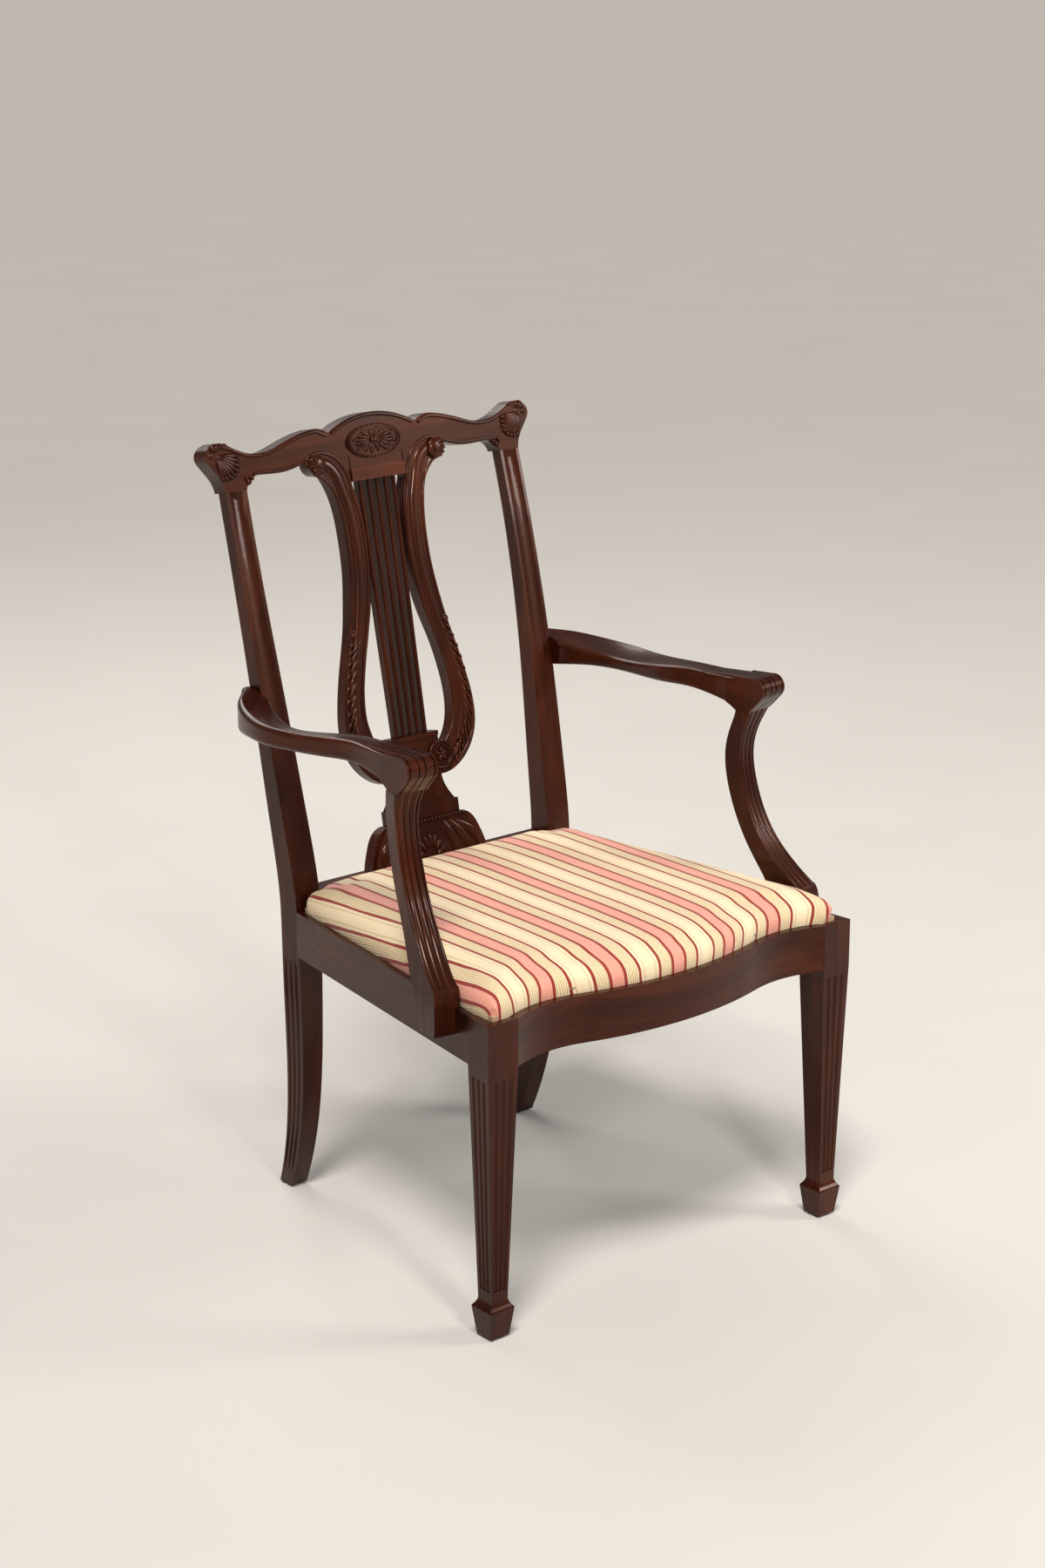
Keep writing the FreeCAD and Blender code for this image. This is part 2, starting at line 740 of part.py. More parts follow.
def side_seat_rail(name, s):
    body = new_body(name)
    plan = new_sketch(body, "XY_Plane", "Plan", raised(rail_foot))
    bind(plan, "AttachmentOffset.Base.z", "Sizes.rail_top - Sizes.rail_height")
    y0, y1 = leg_back, stile_front - 0.1
    a, b = rail_outer(y0), rail_outer(y1)
    draw(plan, polygon(mirrored([(a, y0), (b, y1), (b - across, y1), (a - across, y0)], s)))
    pad(body, plan, "Rail", cell("rail_height"))
    rebate = new_sketch(body, "XY_Plane", "RebatePlan", raised(size.rail_top))
    bind(rebate, "AttachmentOffset.Base.z", cell("rail_top"))
    draw(rebate, polygon(mirrored([
        (a - lip_across, y0), (b - lip_across, y1), (b - across - 5, y1), (a - across - 5, y0)], s)))
    pocket(body, rebate, "Rebate", cell("rebate_depth"))
    x = s * (size.leg_half - size.leg_bevel - size.rail_thick / 2) - size.tenon_thick / 2
    tongue(body, "FrontTenon", at(x, y0 - size.tenon_length + 5, tenon_low),
           size.tenon_thick, size.tenon_length + 1, tenon_tall)
    x = s * (size.stile_half - size.rail_thick / 2) - size.tenon_thick / 2
    tongue(body, "RearTenon", at(x, y1 - 6, tenon_low),
           size.tenon_thick, size.tenon_length + 6, tenon_tall)
    bodies[name] = body
    keep(body, name)


for side, s in sides.items():
    side_seat_rail(f"{side}_seat_rail", s)


# The back, drawn flat on its slope
def back_body(name):
    body = new_body(name)
    body.Placement = back
    return body


def crest_rail():
    body = back_body("crest_rail")
    outline = new_sketch(body, "XY_Plane", "Outline")
    high = crest_joint + size.arch_height
    notch = high - 19
    half = size.arch_half
    tip = size.crest_half
    ear = crest_joint + size.ear_height
    under = crest_joint + 50 - size.crest_depth
    inner, outer = stile_in(crest_joint), stile_out(crest_joint)
    edges = []
    for s in (1, -1):
        def spots(points):
            return mirrored(risen(points), s)

        edges += [
            line(*spots([(0, tablet_foot), (size.tablet_half, tablet_foot)])),
            line(*spots([(size.tablet_half, tablet_foot), (size.tablet_half, under)])),
            line(*spots([(size.tablet_half, under), (114, under)])),
            smooth(spots([(114, under), (127, under - 4), (145, under - 7), (165, under - 7), (182, under - 6)])),
            arc(*spots([(182, under - 6), (197, under - 10), (inner, crest_joint)])),
            line(*spots([(inner, crest_joint), (outer, crest_joint)])),
            smooth(spots([(outer, crest_joint), (tip - 19, ear - 46), (tip - 10, ear - 33), (tip - 2.5, ear - 23)])),
            arc(*spots([(tip - 2.5, ear - 23), (tip, ear - 13), (tip - 6.5, ear - 4)])),
            smooth(spots([(tip - 6.5, ear - 4), (236, ear), (215, ear - 10), (197, ear - 17), (180, ear - 18.5),
                          (164, ear - 17), (148, ear - 12), (120, ear - 3.5), (96, ear + 1)])),
            arc(*spots([(96, ear + 1), (82, ear), (half, notch)])),
        ]
    edges.append(arc((-half, up(notch)), (0, up(high)), (half, up(notch))))
    draw(outline, edges)
    pad(body, outline, "Board", cell("crest_thick"), reverse=True)
    # Moulded foot of the tablet
    foot = new_sketch(body, "XY_Plane", "TabletFoot")
    w = size.tablet_half + 1.2
    draw(foot, polygon(risen([
        (-w, tablet_foot), (w, tablet_foot),
        (w, tablet_foot + size.tablet_fillet), (-w, tablet_foot + size.tablet_fillet)])))
    pad(body, foot, "TabletMoulding", cell("tablet_proud"))
    # Oval patera with a sunk field
    oval = new_sketch(body, "XY_Plane", "PateraOval")
    centre = Vector(0, up(crest_joint + size.patera_height), 0)
    oval.addGeometry(Part.Ellipse(centre, size.patera_long, size.patera_short), False)
    pad(body, oval, "Patera", cell("patera_proud"))
    field = new_sketch(body, "XY_Plane", "PateraField", raised(size.patera_proud))
    bind(field, "AttachmentOffset.Base.z", cell("patera_proud"))
    field.addGeometry(Part.Ellipse(centre, size.patera_long - 6, size.patera_short - 5), False)
    pocket(body, field, "PateraSunk", 1.6)
    boss = new_sketch(body, "XY_Plane", "PateraBoss")
    boss.addGeometry(Part.Circle(centre, Vector(0, 0, 1), 6), False)
    pad(body, boss, "PateraCentre", 3.5)
    # Joints
    gap = size.glue_gap
    for s in (-1, 1):
        middle = (inner + outer) / 2
        place = back * at(s * middle - 8 - gap, up(crest_joint) - 1, -17 - gap)
        socket(body, f"StileMortise{s + 1}", place, 16 + 2 * gap, 20 + gap, 9 + 2 * gap)
    bodies["crest_rail"] = body
    keep(body, "crest_rail")
    return under


crest_under = crest_rail()


def lyre_arm(name, s):
    body = back_body(name)
    outline = new_sketch(body, "XY_Plane", "Outline")
    waist = size.lyre_waist
    swell = size.lyre_swell - 1.5
    band = size.lyre_band
    inner = size.bridge_half + 0.1
    tablet = size.tablet_half + 1.4
    low = size.neck_top - 1
    eye_z = crest_joint + size.scroll_height
    eye_x = size.scroll_out

    # The outline was drawn from 530 up to 950.9 and follows the neck and the crest
    drawn = 950.9 - 530
    reach = crest_under - 0.1 - low

    def spots(points):
        return mirrored(risen([(x, low + (z - 530) * reach / drawn) for x, z in points]), s)

    outer = [
        (inner, 530), (52, 531.5), (66, 537), (87, 554), (swell - 4.5, 578), (swell, 608),
        (swell - 4.5, 646), (90, 690), (79, 728), (waist + 5.5, 772), (waist + 1, 805), (waist, 838),
        (waist + 1.2, 870), (waist + 6, 900), (waist + 12.5, 918), (waist + 21, 933)]
    inside = [
        (tablet, 915), (waist - 28, 893), (waist - band + 1, 860), (waist - band + 1, 815), (37, 777), (46, 738),
        (57, 705), (66.5, 665), (swell - band - 2, 632), (68, 602), (60, 582), (51, 571)]
    edges = [
        smooth(spots(outer)),
        arc(*spots([(waist + 21, 933), (eye_x + 4, 934.5), (eye_x + 12, 950.9)])),
        line(*spots([(eye_x + 12, 950.9), (tablet, 950.9)])),
        line(*spots([(tablet, 950.9), (tablet, 915)])),
        smooth(spots(inside)),
        arc(*spots([(51, 571), (45.5, 574), (inner, 575)])),
        line(*spots([(inner, 575), (inner, 530)])),
    ]
    draw(outline, edges)
    pad(body, outline, "Board", cell("lyre_thick"), reverse=True)
    roundel = new_sketch(body, "XY_Plane", "RoundelPlan")
    draw(roundel, [Part.Circle(
        Vector(s * size.roundel_out, up(size.roundel_height), 0), Vector(0, 0, 1), size.roundel_radius)])
    pad(body, roundel, "Roundel", cell("roundel_proud"))
    scroll = new_sketch(body, "XY_Plane", "ScrollPlan")
    draw(scroll, [Part.Circle(Vector(s * eye_x, up(eye_z), 0), Vector(0, 0, 1), size.scroll_radius)])
    pad(body, scroll, "Scroll", 4)
    bodies[name] = body
    keep(body, name)


for side, s in sides.items():
    lyre_arm(f"lyre_{side}_arm", s)


def bridge():
    body = back_body("lyre_bridge")
    outline = new_sketch(body, "XY_Plane", "Outline")
    w = size.bridge_half
    draw(outline, polygon(risen([
        (-w, size.neck_top), (w, size.neck_top), (w, size.bridge_top), (-w, size.bridge_top)])))
    pad(body, outline, "Block", cell("lyre_thick"), reverse=True)
    cap = new_sketch(body, "XY_Plane", "CapOutline")
    draw(cap, polygon(risen([
        (-w, size.bridge_top - size.bridge_cap), (w, size.bridge_top - size.bridge_cap),
        (w, size.bridge_top), (-w, size.bridge_top)])))
    pad(body, cap, "Cap", 2)
    bodies["lyre_bridge"] = body
    keep(body, "lyre_bridge")


bridge()


def string_bar(number):
    body = back_body(f"lyre_string_{number + 1}")
    share = number / (size.string_count - 1) * 2 - 1
    w = size.string_width / 2
    rise = tablet_foot - size.bridge_top
    foot_x = share * (size.string_foot - size.string_width) / 2
    head_x = share * (size.string_head - size.string_width) / 2
    sketches = []
    for end, z in enumerate((size.bridge_top - 7, tablet_foot + 7)):
        x = foot_x + (head_x - foot_x) * (z - size.bridge_top) / rise
        sketch = new_sketch(body, "XZ_Plane", f"Section{end}", raised(-up(z)))
        face = -2.5
        rear = face - size.string_depth
        draw(sketch, [
            line((x - w, rear), (x + w, rear)),
            line((x + w, rear), (x + w, face - w)),
            arc((x + w, face - w), (x, face), (x - w, face - w)),
            line((x - w, face - w), (x - w, rear)),
        ])
        sketches.append(sketch)
    loft(body, sketches, "Bar", ruled=True)
    keep(body, body.Label)
    slack = 0.3
    for host, x, z in (("lyre_bridge", foot_x, size.bridge_top - 7), ("crest_rail", head_x, tablet_foot - 1)):
        place = back * at(x - w - slack, up(z) - slack, -2.5 - size.string_depth - slack)
        socket(bodies[host], f"StringSocket{number}", place,
               size.string_width + 2 * slack, 8.5 + 2 * slack, size.string_depth + 2 * slack)


for number in range(int(size.string_count)):
    string_bar(number)


def pedestal():
    body = back_body("splat_pedestal")
    outline = new_sketch(body, "XY_Plane", "Outline")
    top = size.neck_top - 0.1
    foot = size.rail_top + size.shoe_height
    n, p, b = size.neck_half, size.plinth_half, size.bell_half
    high, low = size.plinth_top, size.plinth_foot
    edges = [line((-n, up(top)), (n, up(top)))]
    for s in (1, -1):
        def spots(points):
            return mirrored(risen(points), s)

        edges += [
            smooth(spots([(n, top), (n + 1.5, top - 10), (n + 7, top - 22), (p - 3, high)])),
            line(*spots([(p - 3, high), (p, high)])),
            line(*spots([(p, high), (p, low)])),
            line(*spots([(p, low), (p + 5, low)])),
            smooth(spots([(p + 5, low), (p + 24, low - 12), (b - 8, low - 28), (b - 2.5, low - 43), (b, foot)])),
        ]
    edges.append(line((-b, up(foot)), (b, up(foot))))
    draw(outline, edges)
    pad(body, outline, "Board", cell("lyre_thick"), reverse=True)
    plinth = new_sketch(body, "XY_Plane", "PlinthOutline")
    draw(plinth, polygon(risen([(-p, low), (p, low), (p, high), (-p, high)])))
    pad(body, plinth, "Plinth", 3)
    bell = new_sketch(body, "XY_Plane", "BellOutline")
    edges = [line((-p - 1, up(low)), (p + 1, up(low)))]
    for s in (1, -1):
        def spots(points):
            return mirrored(risen(points), s)

        edges.append(smooth(spots([(p + 1, low), (p + 20, low - 14), (b - 12, low - 29), (b - 6.5, low - 43), (b - 4, foot)])))
    edges.append(line((-b + 4, up(foot)), (b - 4, up(foot))))
    draw(bell, edges)
    pad(body, bell, "BellSwell", cell("bell_proud"))
    # Flutes on the neck
    for number in range(5):
        x = (number - 2) * (n * 2 / 5.6)
        lean = math.radians((number - 2) * 4)
        place = back * Placement(
            Vector(x, up(high + 3), 2.2), Rotation(Vector(0, 0, 1), Vector(math.sin(lean), math.cos(lean), 0)))
        bore(body, f"NeckFlute{number}", place, 4.2, 27)
    tongue(body, "ShoeTongue", back * at(-b + 20, up(foot) - size.shoe_housing, -13.5), 2 * b - 40, size.shoe_housing + 1, 9)
    bodies["splat_pedestal"] = body
    keep(body, "splat_pedestal")


pedestal()


def shoe():
    body = new_body("splat_shoe")
    profile = new_sketch(body, "YZ_Plane", "Profile")
    foot = size.rail_top
    top = foot + size.shoe_height
    y0 = rear_face + 11.5
    y1 = stile_front + size.lyre_setback + math.tan(math.radians(size.rake)) * size.shoe_height - 3
    draw(profile, [
        line((y0, foot), (y0 + size.shoe_depth - 9, foot)),
        line((y0 + size.shoe_depth - 9, foot), (y1 + size.shoe_top_depth, top)),
        line((y1 + size.shoe_top_depth, top), (y1, top)),
        line((y1, top), (y0, foot)),
    ])
    pad(body, profile, "Moulding", 2 * (stile_in(foot + 2) - 0.3), midplane=True)
    gap = size.glue_gap
    place = back * at(-size.bell_half + 20 - gap, up(top) - size.shoe_housing - gap, -13.5 - gap)
    socket(body, "SplatHousing", place, 2 * size.bell_half - 40 + 2 * gap, size.shoe_housing + 6, 9 + 2 * gap)
    bodies["splat_shoe"] = body
    keep(body, "splat_shoe")


shoe()


# Arms: lofted along their length, with a reeded knuckle in front
def ahead(distance):
    """Depth in the chair for a distance behind the front of the legs."""
    return front + distance


def arm_section(s, x_in, x_out, low, high_in, high_out, corner):
    turn = corner * (1 - math.sqrt(0.5))

    def spot(x, z):
        return (s * x, z)

    middle = (x_in + x_out) / 2
    sag = (high_in + high_out) / 2 - 1.2
    return [
        line(spot(x_in + corner, low), spot(x_out - corner, low)),
        arc(spot(x_out - corner, low), spot(x_out - turn, low + turn), spot(x_out, low + corner)),
        line(spot(x_out, low + corner), spot(x_out, high_out - corner)),
        arc(spot(x_out, high_out - corner), spot(x_out - turn, high_out - turn), spot(x_out - corner, high_out)),
        arc(spot(x_out - corner, high_out), spot(middle, sag), spot(x_in + corner, high_in)),
        arc(spot(x_in + corner, high_in), spot(x_in + turn, high_in - turn), spot(x_in, high_in - corner)),
        line(spot(x_in, high_in - corner), spot(x_in, low + corner)),
        arc(spot(x_in, low + corner), spot(x_in + turn, low + turn), spot(x_in + corner, low)),
    ]


# Distance behind the legs' front, middle, width, top inside, top outside, bottom, rounding
waist, swell = size.arm_waist_half, size.arm_swell_half
top, root = size.arm_top, size.arm_root_top
arm_rows = [
    (180, waist + 5.4, size.knuckle_width, top - 2.6, top - 2.6, top - 40, 1.2),
    (196, waist + 3.8, size.knuckle_width - 2, top - 3.4, top - 3.4, top - 36, 1.6),
    (228, waist + 1, 37.5, top - 4.8, top - 4.8, top - 32, 2.6),
    (261, waist - 0.5, size.arm_waist_width, top - 5.5, top - 5, top - 31, 4),
    (316, waist + 2, 41, top - 12, top - 9.5, top - 35.5, 6.5),
    (376, waist + 9.5, 44, top - 21, top - 14.5, top - 39.5, 7),
    (426, swell, size.arm_swell_width, top - 24, top - 15, top - 41.5, 7),
    (466, waist + 3.5, 50, top - 20, top - 13, top - 43, 7),
    (496, waist - 8, 51, root - 12, root - 6, root - 42, 7),
    (521, waist - 24, 51, root - 6, root - 3, root - 43, 7),
    (548, waist - 47, 49, root - 2, root, root - 45, 7),
]
knuckle_turn = 6
knuckle_pivot = size.knuckle_reach + 22
reeds = ((-21, -17.8, 30), (-16, -5.2, 92), (-3.6, 3.6, 92), (5.2, 16, 92), (17.8, 21, 30))


def knuckle_profile(inset, tail):
    """Side view of the knuckle, from the joint with the support over the nose."""
    joint = size.arm_joint
    nose = 15 - inset
    eye_x, eye_z = -7, top - 13
    lean = math.sqrt(0.5)
    start = (eye_x - nose * lean, eye_z - nose * lean)
    high = (eye_x, eye_z + nose)
    end_top = eye_z + nose - 4 * tail / 46
    front_line = [
        smooth([(2 + inset, joint), (-7 + inset, joint + 9), start]),
        arc(start, (eye_x - nose, eye_z), high),
        line(high, (tail, end_top)),
    ]
    if inset:
        return front_line + [
            line((tail, end_top), (tail, top - 36)),
            smooth([(tail, top - 36), (30, joint + 3.5), (24, joint)]),
            line((24, joint), (2 + inset, joint)),
        ]
    return front_line + [
        line((tail, end_top), (tail, end_top - 5)),
        line((tail, end_top - 5), (12, top - 14)),
        line((12, top - 14), (12, joint)),
        line((12, joint), (2, joint)),
    ]


def arm(name, s):
    body = new_body(name)
    sketches = []
    for number, (distance, middle, width, high_in, high_out, low, corner) in enumerate(arm_rows):
        sketch = new_sketch(body, "XZ_Plane", f"Section{number}", raised(-ahead(distance)))
        draw(sketch, arm_section(s, middle - width / 2, middle + width / 2, low, high_in, high_out, corner))
        sketches.append(sketch)
    loft(body, sketches, "ArmLoft")
    pivot = Placement(
        Vector(ahead(knuckle_pivot), 0, s * size.knuckle_half), Rotation(Vector(0, 1, 0), s * knuckle_turn))
    core = new_sketch(body, "YZ_Plane", "KnuckleCore", pivot)
    draw(core, knuckle_profile(size.reed_depth, 40))
    pad(body, core, "Knuckle", cell("knuckle_width"), midplane=True)
    for number, (low, high, tail) in enumerate(reeds):
        shift = Placement(Vector(0, 0, (low + high) / 2), Rotation())
        reed = new_sketch(body, "YZ_Plane", f"ReedProfile{number}", pivot * shift)
        draw(reed, knuckle_profile(0, tail))
        pad(body, reed, f"Reed{number}", high - low, midplane=True)
    # End sawn to lie against the stile
    low, high = size.arm_joint - 30, top + 30
    end = new_sketch(body, "XZ_Plane", "EndLine", raised(-ahead(440)))
    draw(end, polygon(mirrored([
        (100, low), (stile_out(low) + 0.15, low), (stile_out(high) + 0.15, high), (100, high)], s)))
    cut_end = pocket(body, end, "EndCut", 300)
    cut_end.Midplane = False
    bodies[name] = body
    keep(body, name)


for side, s in sides.items():
    arm(f"{side}_arm", s)


# Arm supports: S-curve, plain foot outside the rail, reeded front above it
def support_row(s, middle, width, fore, aft, reeded):
    angle = s * math.radians(size.support_turn)
    cos, sin = math.cos(angle), math.sin(angle)
    length = aft - fore
    cx, cy = s * middle, ahead((fore + aft) / 2)

    def spot(u, t):
        return (cx + s * u * cos - t * sin, cy + s * u * sin + t * cos)

    w, h = width / 2, length / 2
    sides_and_back = [
        line(spot(w, -h), spot(w, h)),
        line(spot(w, h), spot(-w, h)),
        line(spot(-w, h), spot(-w, -h)),
    ]
    if not reeded:
        return sides_and_back + [line(spot(-w, -h), spot(w, -h))]
    marks = [-1, -0.8, -0.27, 0.27, 0.8, 1]
    groove = size.reed_depth
    edges = []
    for a, b in zip(marks, marks[1:]):
        proud = groove if b - a > 0.3 else groove * 0.7
        edges.append(arc(spot(a * w, -h + groove), spot((a + b) / 2 * w, -h + groove - proud), spot(b * w, -h + groove)))
    edges += [
        line(spot(w, -h + groove), spot(w, h)),
        line(spot(w, h), spot(-w, h)),
        line(spot(-w, h), spot(-w, -h + groove)),
    ]
    return edges


base, mid = size.support_base_half, size.support_mid_half
wide, slim = size.support_width, size.support_mid_width
step, joint = size.support_step, size.arm_joint
support_foot = [
    (size.support_base, base, wide - 1.5, 76, 107),
    (size.support_base + 12, base, wide, 73, 110),
    (size.support_base + 28, base, wide, 72.5, 114),
    (size.support_base + 43, base - 1.5, wide, 73.5, 122),
    (step, base - 4.5, wide, 78, 132),
]
support_post = [
    (step, base - 4.5, wide, 78, 132),
    (450, base - 10, wide - 0.5, 104, 144),
    (475, base - 16, wide - 1, 127, 158),
    (500, mid + 1.5, wide - 2, 144, 171),
    (550, mid - 1.5, slim, 165, 190),
    (600, mid, slim, 172.5, 196),
    (628, mid + 4, slim + 4, 167, 189),
    (joint, size.knuckle_half, size.knuckle_width - 2, 158, 182),
]


def support(name, s):
    body = new_body(name)
    for label, rows, reeded in (("Foot", support_foot, False), ("Post", support_post, True)):
        sketches = []
        for number, (z, middle, width, fore, aft) in enumerate(rows):
            sketch = new_sketch(body, "XY_Plane", f"{label}{number}", raised(z))
            draw(sketch, support_row(s, middle, width, fore, aft, reeded))
            sketches.append(sketch)
        loft(body, sketches, label + "Loft")
    seat_side = new_sketch(body, "XY_Plane", "RailSide", raised(size.rail_top))
    bind(seat_side, "AttachmentOffset.Base.z", cell("rail_top"))
    y0, y1 = ahead(30), ahead(180)
    draw(seat_side, polygon(mirrored([
        (rail_outer(y0) + 0.1, y0), (rail_outer(y1) + 0.1, y1), (200, y1), (200, y0)], s)))
    pocket(body, seat_side, "RailHousing", 80)
    bodies[name] = body
    keep(body, name)


for side, s in sides.items():
    support(f"{side}_arm_support", s)


# Corner blocks under the seat
block_low = rail_foot + 5
block_top = size.rail_top - size.rebate_depth - 1
rail_inner_front = rail_outer(leg_back) - across


def rail_inner(y):
    return rail_outer(y) - across


def corner_block(name, s, points):
    body = new_body(name)
    plan = new_sketch(body, "XY_Plane", "Plan", raised(block_low))
    draw(plan, polygon(mirrored(points, s)))
    pad(body, plan, "Block", block_top - block_low)
    bodies[name] = body
    keep(body, name)


reach = size.block_leg
for side, s in sides.items():
    y = leg_back + reach - 10
    corner_block(f"front_{side}_corner_block", s, [
        (leg_inner - reach, rail_back), (leg_inner, rail_back), (leg_inner, leg_back),
        (rail_inner(leg_back), leg_back), (rail_inner(y), y)])
    y = stile_front - reach
    corner_block(f"rear_{side}_corner_block", s, [
        (stile_inner - reach, rear_face), (stile_inner + 0.6, rear_face), (stile_inner + 0.6, stile_front - 0.3),
        (rail_inner(stile_front), stile_front - 0.3), (rail_inner(y), y)])


# Screws and dowels, each let into the pieces it joins
def screw(name, point, direction, length, hosts):
    """A countersunk screw; point is the top of its head, direction the way it goes in."""
    place = aim(point, direction)
    shank = cylinder(name + "Shank", cell("screw_radius"), length, Vector(*point), Vector(*direction))
    head = cylinder(name + "Head", cell("screw_head"), 3, Vector(*point), Vector(*direction))
    gap = size.glue_gap
    for number, host in enumerate(hosts):
        bore(bodies[host], f"{name}Bore{number}", place * at(0, 0, -1), size.screw_radius + gap, length + 1.3)
        if number == 0:
            bore(bodies[host], f"{name}Sink", place * at(0, 0, -12), size.screw_head + gap, 15.2)
    return fuse(name, [shank, head])


def dowel(name, place, length, hosts):
    pin = doc.addObject("Part::Cylinder", name)
    bind(pin, "Radius", cell("dowel_radius"))
    pin.Height = length
    pin.Placement = place
    gap = size.glue_gap
    for number, host in enumerate(hosts):
        bore(bodies[host], f"{name}Hole{number}", place * at(0, 0, -gap), size.dowel_radius + gap, length + 2 * gap)
    return pin


block_screws = []
seat_screws = []
for side, s in sides.items():
    z = (block_low + block_top) / 2
    host = f"front_{side}_corner_block"
    x = leg_inner - 30
    block_screws.append(screw(
        f"FrontA{s + 1}", (s * x, rail_back + 24, z - 8), (0, -1, 0), size.screw_length, [host, "front_seat_rail"]))
    y = leg_back + 26
    normal = math.sqrt(1 + rail_lean ** 2)
    out = (s / normal, rail_lean / normal, 0)
    x = rail_inner(y) - 22
    block_screws.append(screw(
        f"FrontB{s + 1}", (s * x, y, z + 8), out, size.screw_length - 7, [host, f"{side}_seat_rail"]))
    host = f"rear_{side}_corner_block"
    x = stile_inner - 26
    block_screws.append(screw(
        f"RearA{s + 1}", (s * x, rear_face - 24, z - 8), (0, 1, 0), size.screw_length, [host, "rear_seat_rail"]))
    y = stile_front - 30
    x = rail_inner(y) - 24
    block_screws.append(screw(
        f"RearB{s + 1}", (s * x, y, z + 8), out, size.screw_length - 7, [host, f"{side}_seat_rail"]))

support_screws = []
for side, s in sides.items():
    out = (s / normal, rail_lean / normal, 0)
    for number, distance in enumerate((85, 101)):
        y = ahead(distance)
        place = (s * (rail_inner(y) - 0.2), y, rail_foot + 36 + 4 * number)
        support_screws.append(screw(
            f"Support{s + 1}{number}", place, out, size.screw_length - 5,
            [f"{side}_seat_rail", f"{side}_arm_support"]))

dowels = []
for side, s in sides.items():
    for number, (distance, z) in enumerate(((523, 657), (529, 676))):
        place = aim((s * (stile_out(z) - 13), ahead(distance), z), (s, 0, 0))
        dowels.append(dowel(f"ArmDowel{s + 1}{number}", place, 27, [f"{side}_stile", f"{side}_arm"]))
    place = at(s * (size.knuckle_half - 0.5), ahead(170), size.arm_joint - size.dowel_length / 2)
    dowels.append(dowel(f"SupportDowel{s + 1}", place, size.dowel_length, [f"{side}_arm_support", f"{side}_arm"]))
    place = back * aim((s * (size.bridge_half - 14), up(543), -9), (s, 0, 0))
    dowels.append(dowel(f"BridgeDowel{s + 1}", place, 28, ["lyre_bridge", f"lyre_{side}_arm"]))
    place = back * aim((s * 70, up(crest_under) - 15, -9), (0, 1, 0))
    dowels.append(dowel(f"CrestDowel{s + 1}", place, 30, [f"lyre_{side}_arm", "crest_rail"]))
    place = back * aim((s * 18, up(size.neck_top) - 15, -11), (0, 1, 0))
    dowels.append(dowel(f"NeckDowel{s + 1}", place, 30, ["splat_pedestal", "lyre_bridge"]))
keep(group("joint_dowels", dowels), "joint_dowels")


# Drop-in seat: frame, webbing, pad, cover and dust cover
seat_inset = size.lip_width + size.seat_gap
frame_low = size.rail_top - size.rebate_depth + size.cambric_thick
frame_top = frame_low + size.frame_thick
seat_rear = rear_face + 7.5
notch_x = stile_inner - 4
notch_y = stile_front - 4
corner_y = front + size.lip_width + size.seat_gap + 0.5


def seat_side_x(y):
    return rail_outer(max(y, leg_back)) - lip_across - size.seat_gap


seat_middle = (front + seat_rear) / 2


def seat_edges(scale, inset=0):
    """Outline of the seat: serpentine front, tapered sides, notched round the stiles."""
    def spot(point):
        x, y = point
        return (x * scale, seat_middle + (y - seat_middle) * scale)

    tip, turn_x, turn_y, on_end = serpentine(seat_inset + inset)
    half = leg_inner
    near = (turn_x + half) / 2
    side = seat_side_x(leg_back) - inset
    chain = [
        (half, on_end(half)), (side, corner_y + inset), (side, leg_back),
        (seat_side_x(notch_y) - inset, notch_y - inset), (notch_x - inset, notch_y - inset),
        (notch_x - inset, seat_rear - inset)]
    edges = [
        arc(spot((-half, on_end(half))), spot((-near, on_end(near))), spot((-turn_x, turn_y))),
        arc(spot((-turn_x, turn_y)), spot((0, tip)), spot((turn_x, turn_y))),
        arc(spot((turn_x, turn_y)), spot((near, on_end(near))), spot((half, on_end(half)))),
    ]
    ring = chain + [(-x, y) for x, y in reversed(chain)]
    edges += [line(spot(a), spot(b)) for a, b in zip(ring, ring[1:])]
    return edges


front_bar = ahead(62)
rear_bar = seat_rear - size.frame_width


def seat_front_bar():
    body = new_body("seat_frame_front")
    plan = new_sketch(body, "XY_Plane", "Plan", raised(frame_low))
    tip, turn_x, turn_y, on_end = serpentine(seat_inset)
    half = leg_inner
    near = (turn_x + half) / 2
    side = seat_side_x(leg_back)
    ring = [(half, on_end(half)), (side, corner_y), (side, leg_back), (seat_side_x(front_bar), front_bar)]
    ring += [(-x, y) for x, y in reversed(ring)]
    draw(plan, [
        arc((-half, on_end(half)), (-near, on_end(near)), (-turn_x, turn_y)),
        arc((-turn_x, turn_y), (0, tip), (turn_x, turn_y)),
        arc((turn_x, turn_y), (near, on_end(near)), (half, on_end(half))),
    ] + [line(a, b) for a, b in zip(ring, ring[1:])])
    pad(body, plan, "Bar", cell("frame_thick"))
    bodies["seat_frame_front"] = body
    keep(body, "seat_frame_front")


seat_front_bar()


def seat_rear_bar():
    body = new_body("seat_frame_rear")
    plan = new_sketch(body, "XY_Plane", "Plan", raised(frame_low))
    half = [(seat_side_x(rear_bar), rear_bar), (seat_side_x(notch_y), notch_y), (notch_x, notch_y), (notch_x, seat_rear)]
    draw(plan, polygon(half + [(-x, y) for x, y in reversed(half)]))
    pad(body, plan, "Bar", cell("frame_thick"))
    bodies["seat_frame_rear"] = body
    keep(body, "seat_frame_rear")


seat_rear_bar()

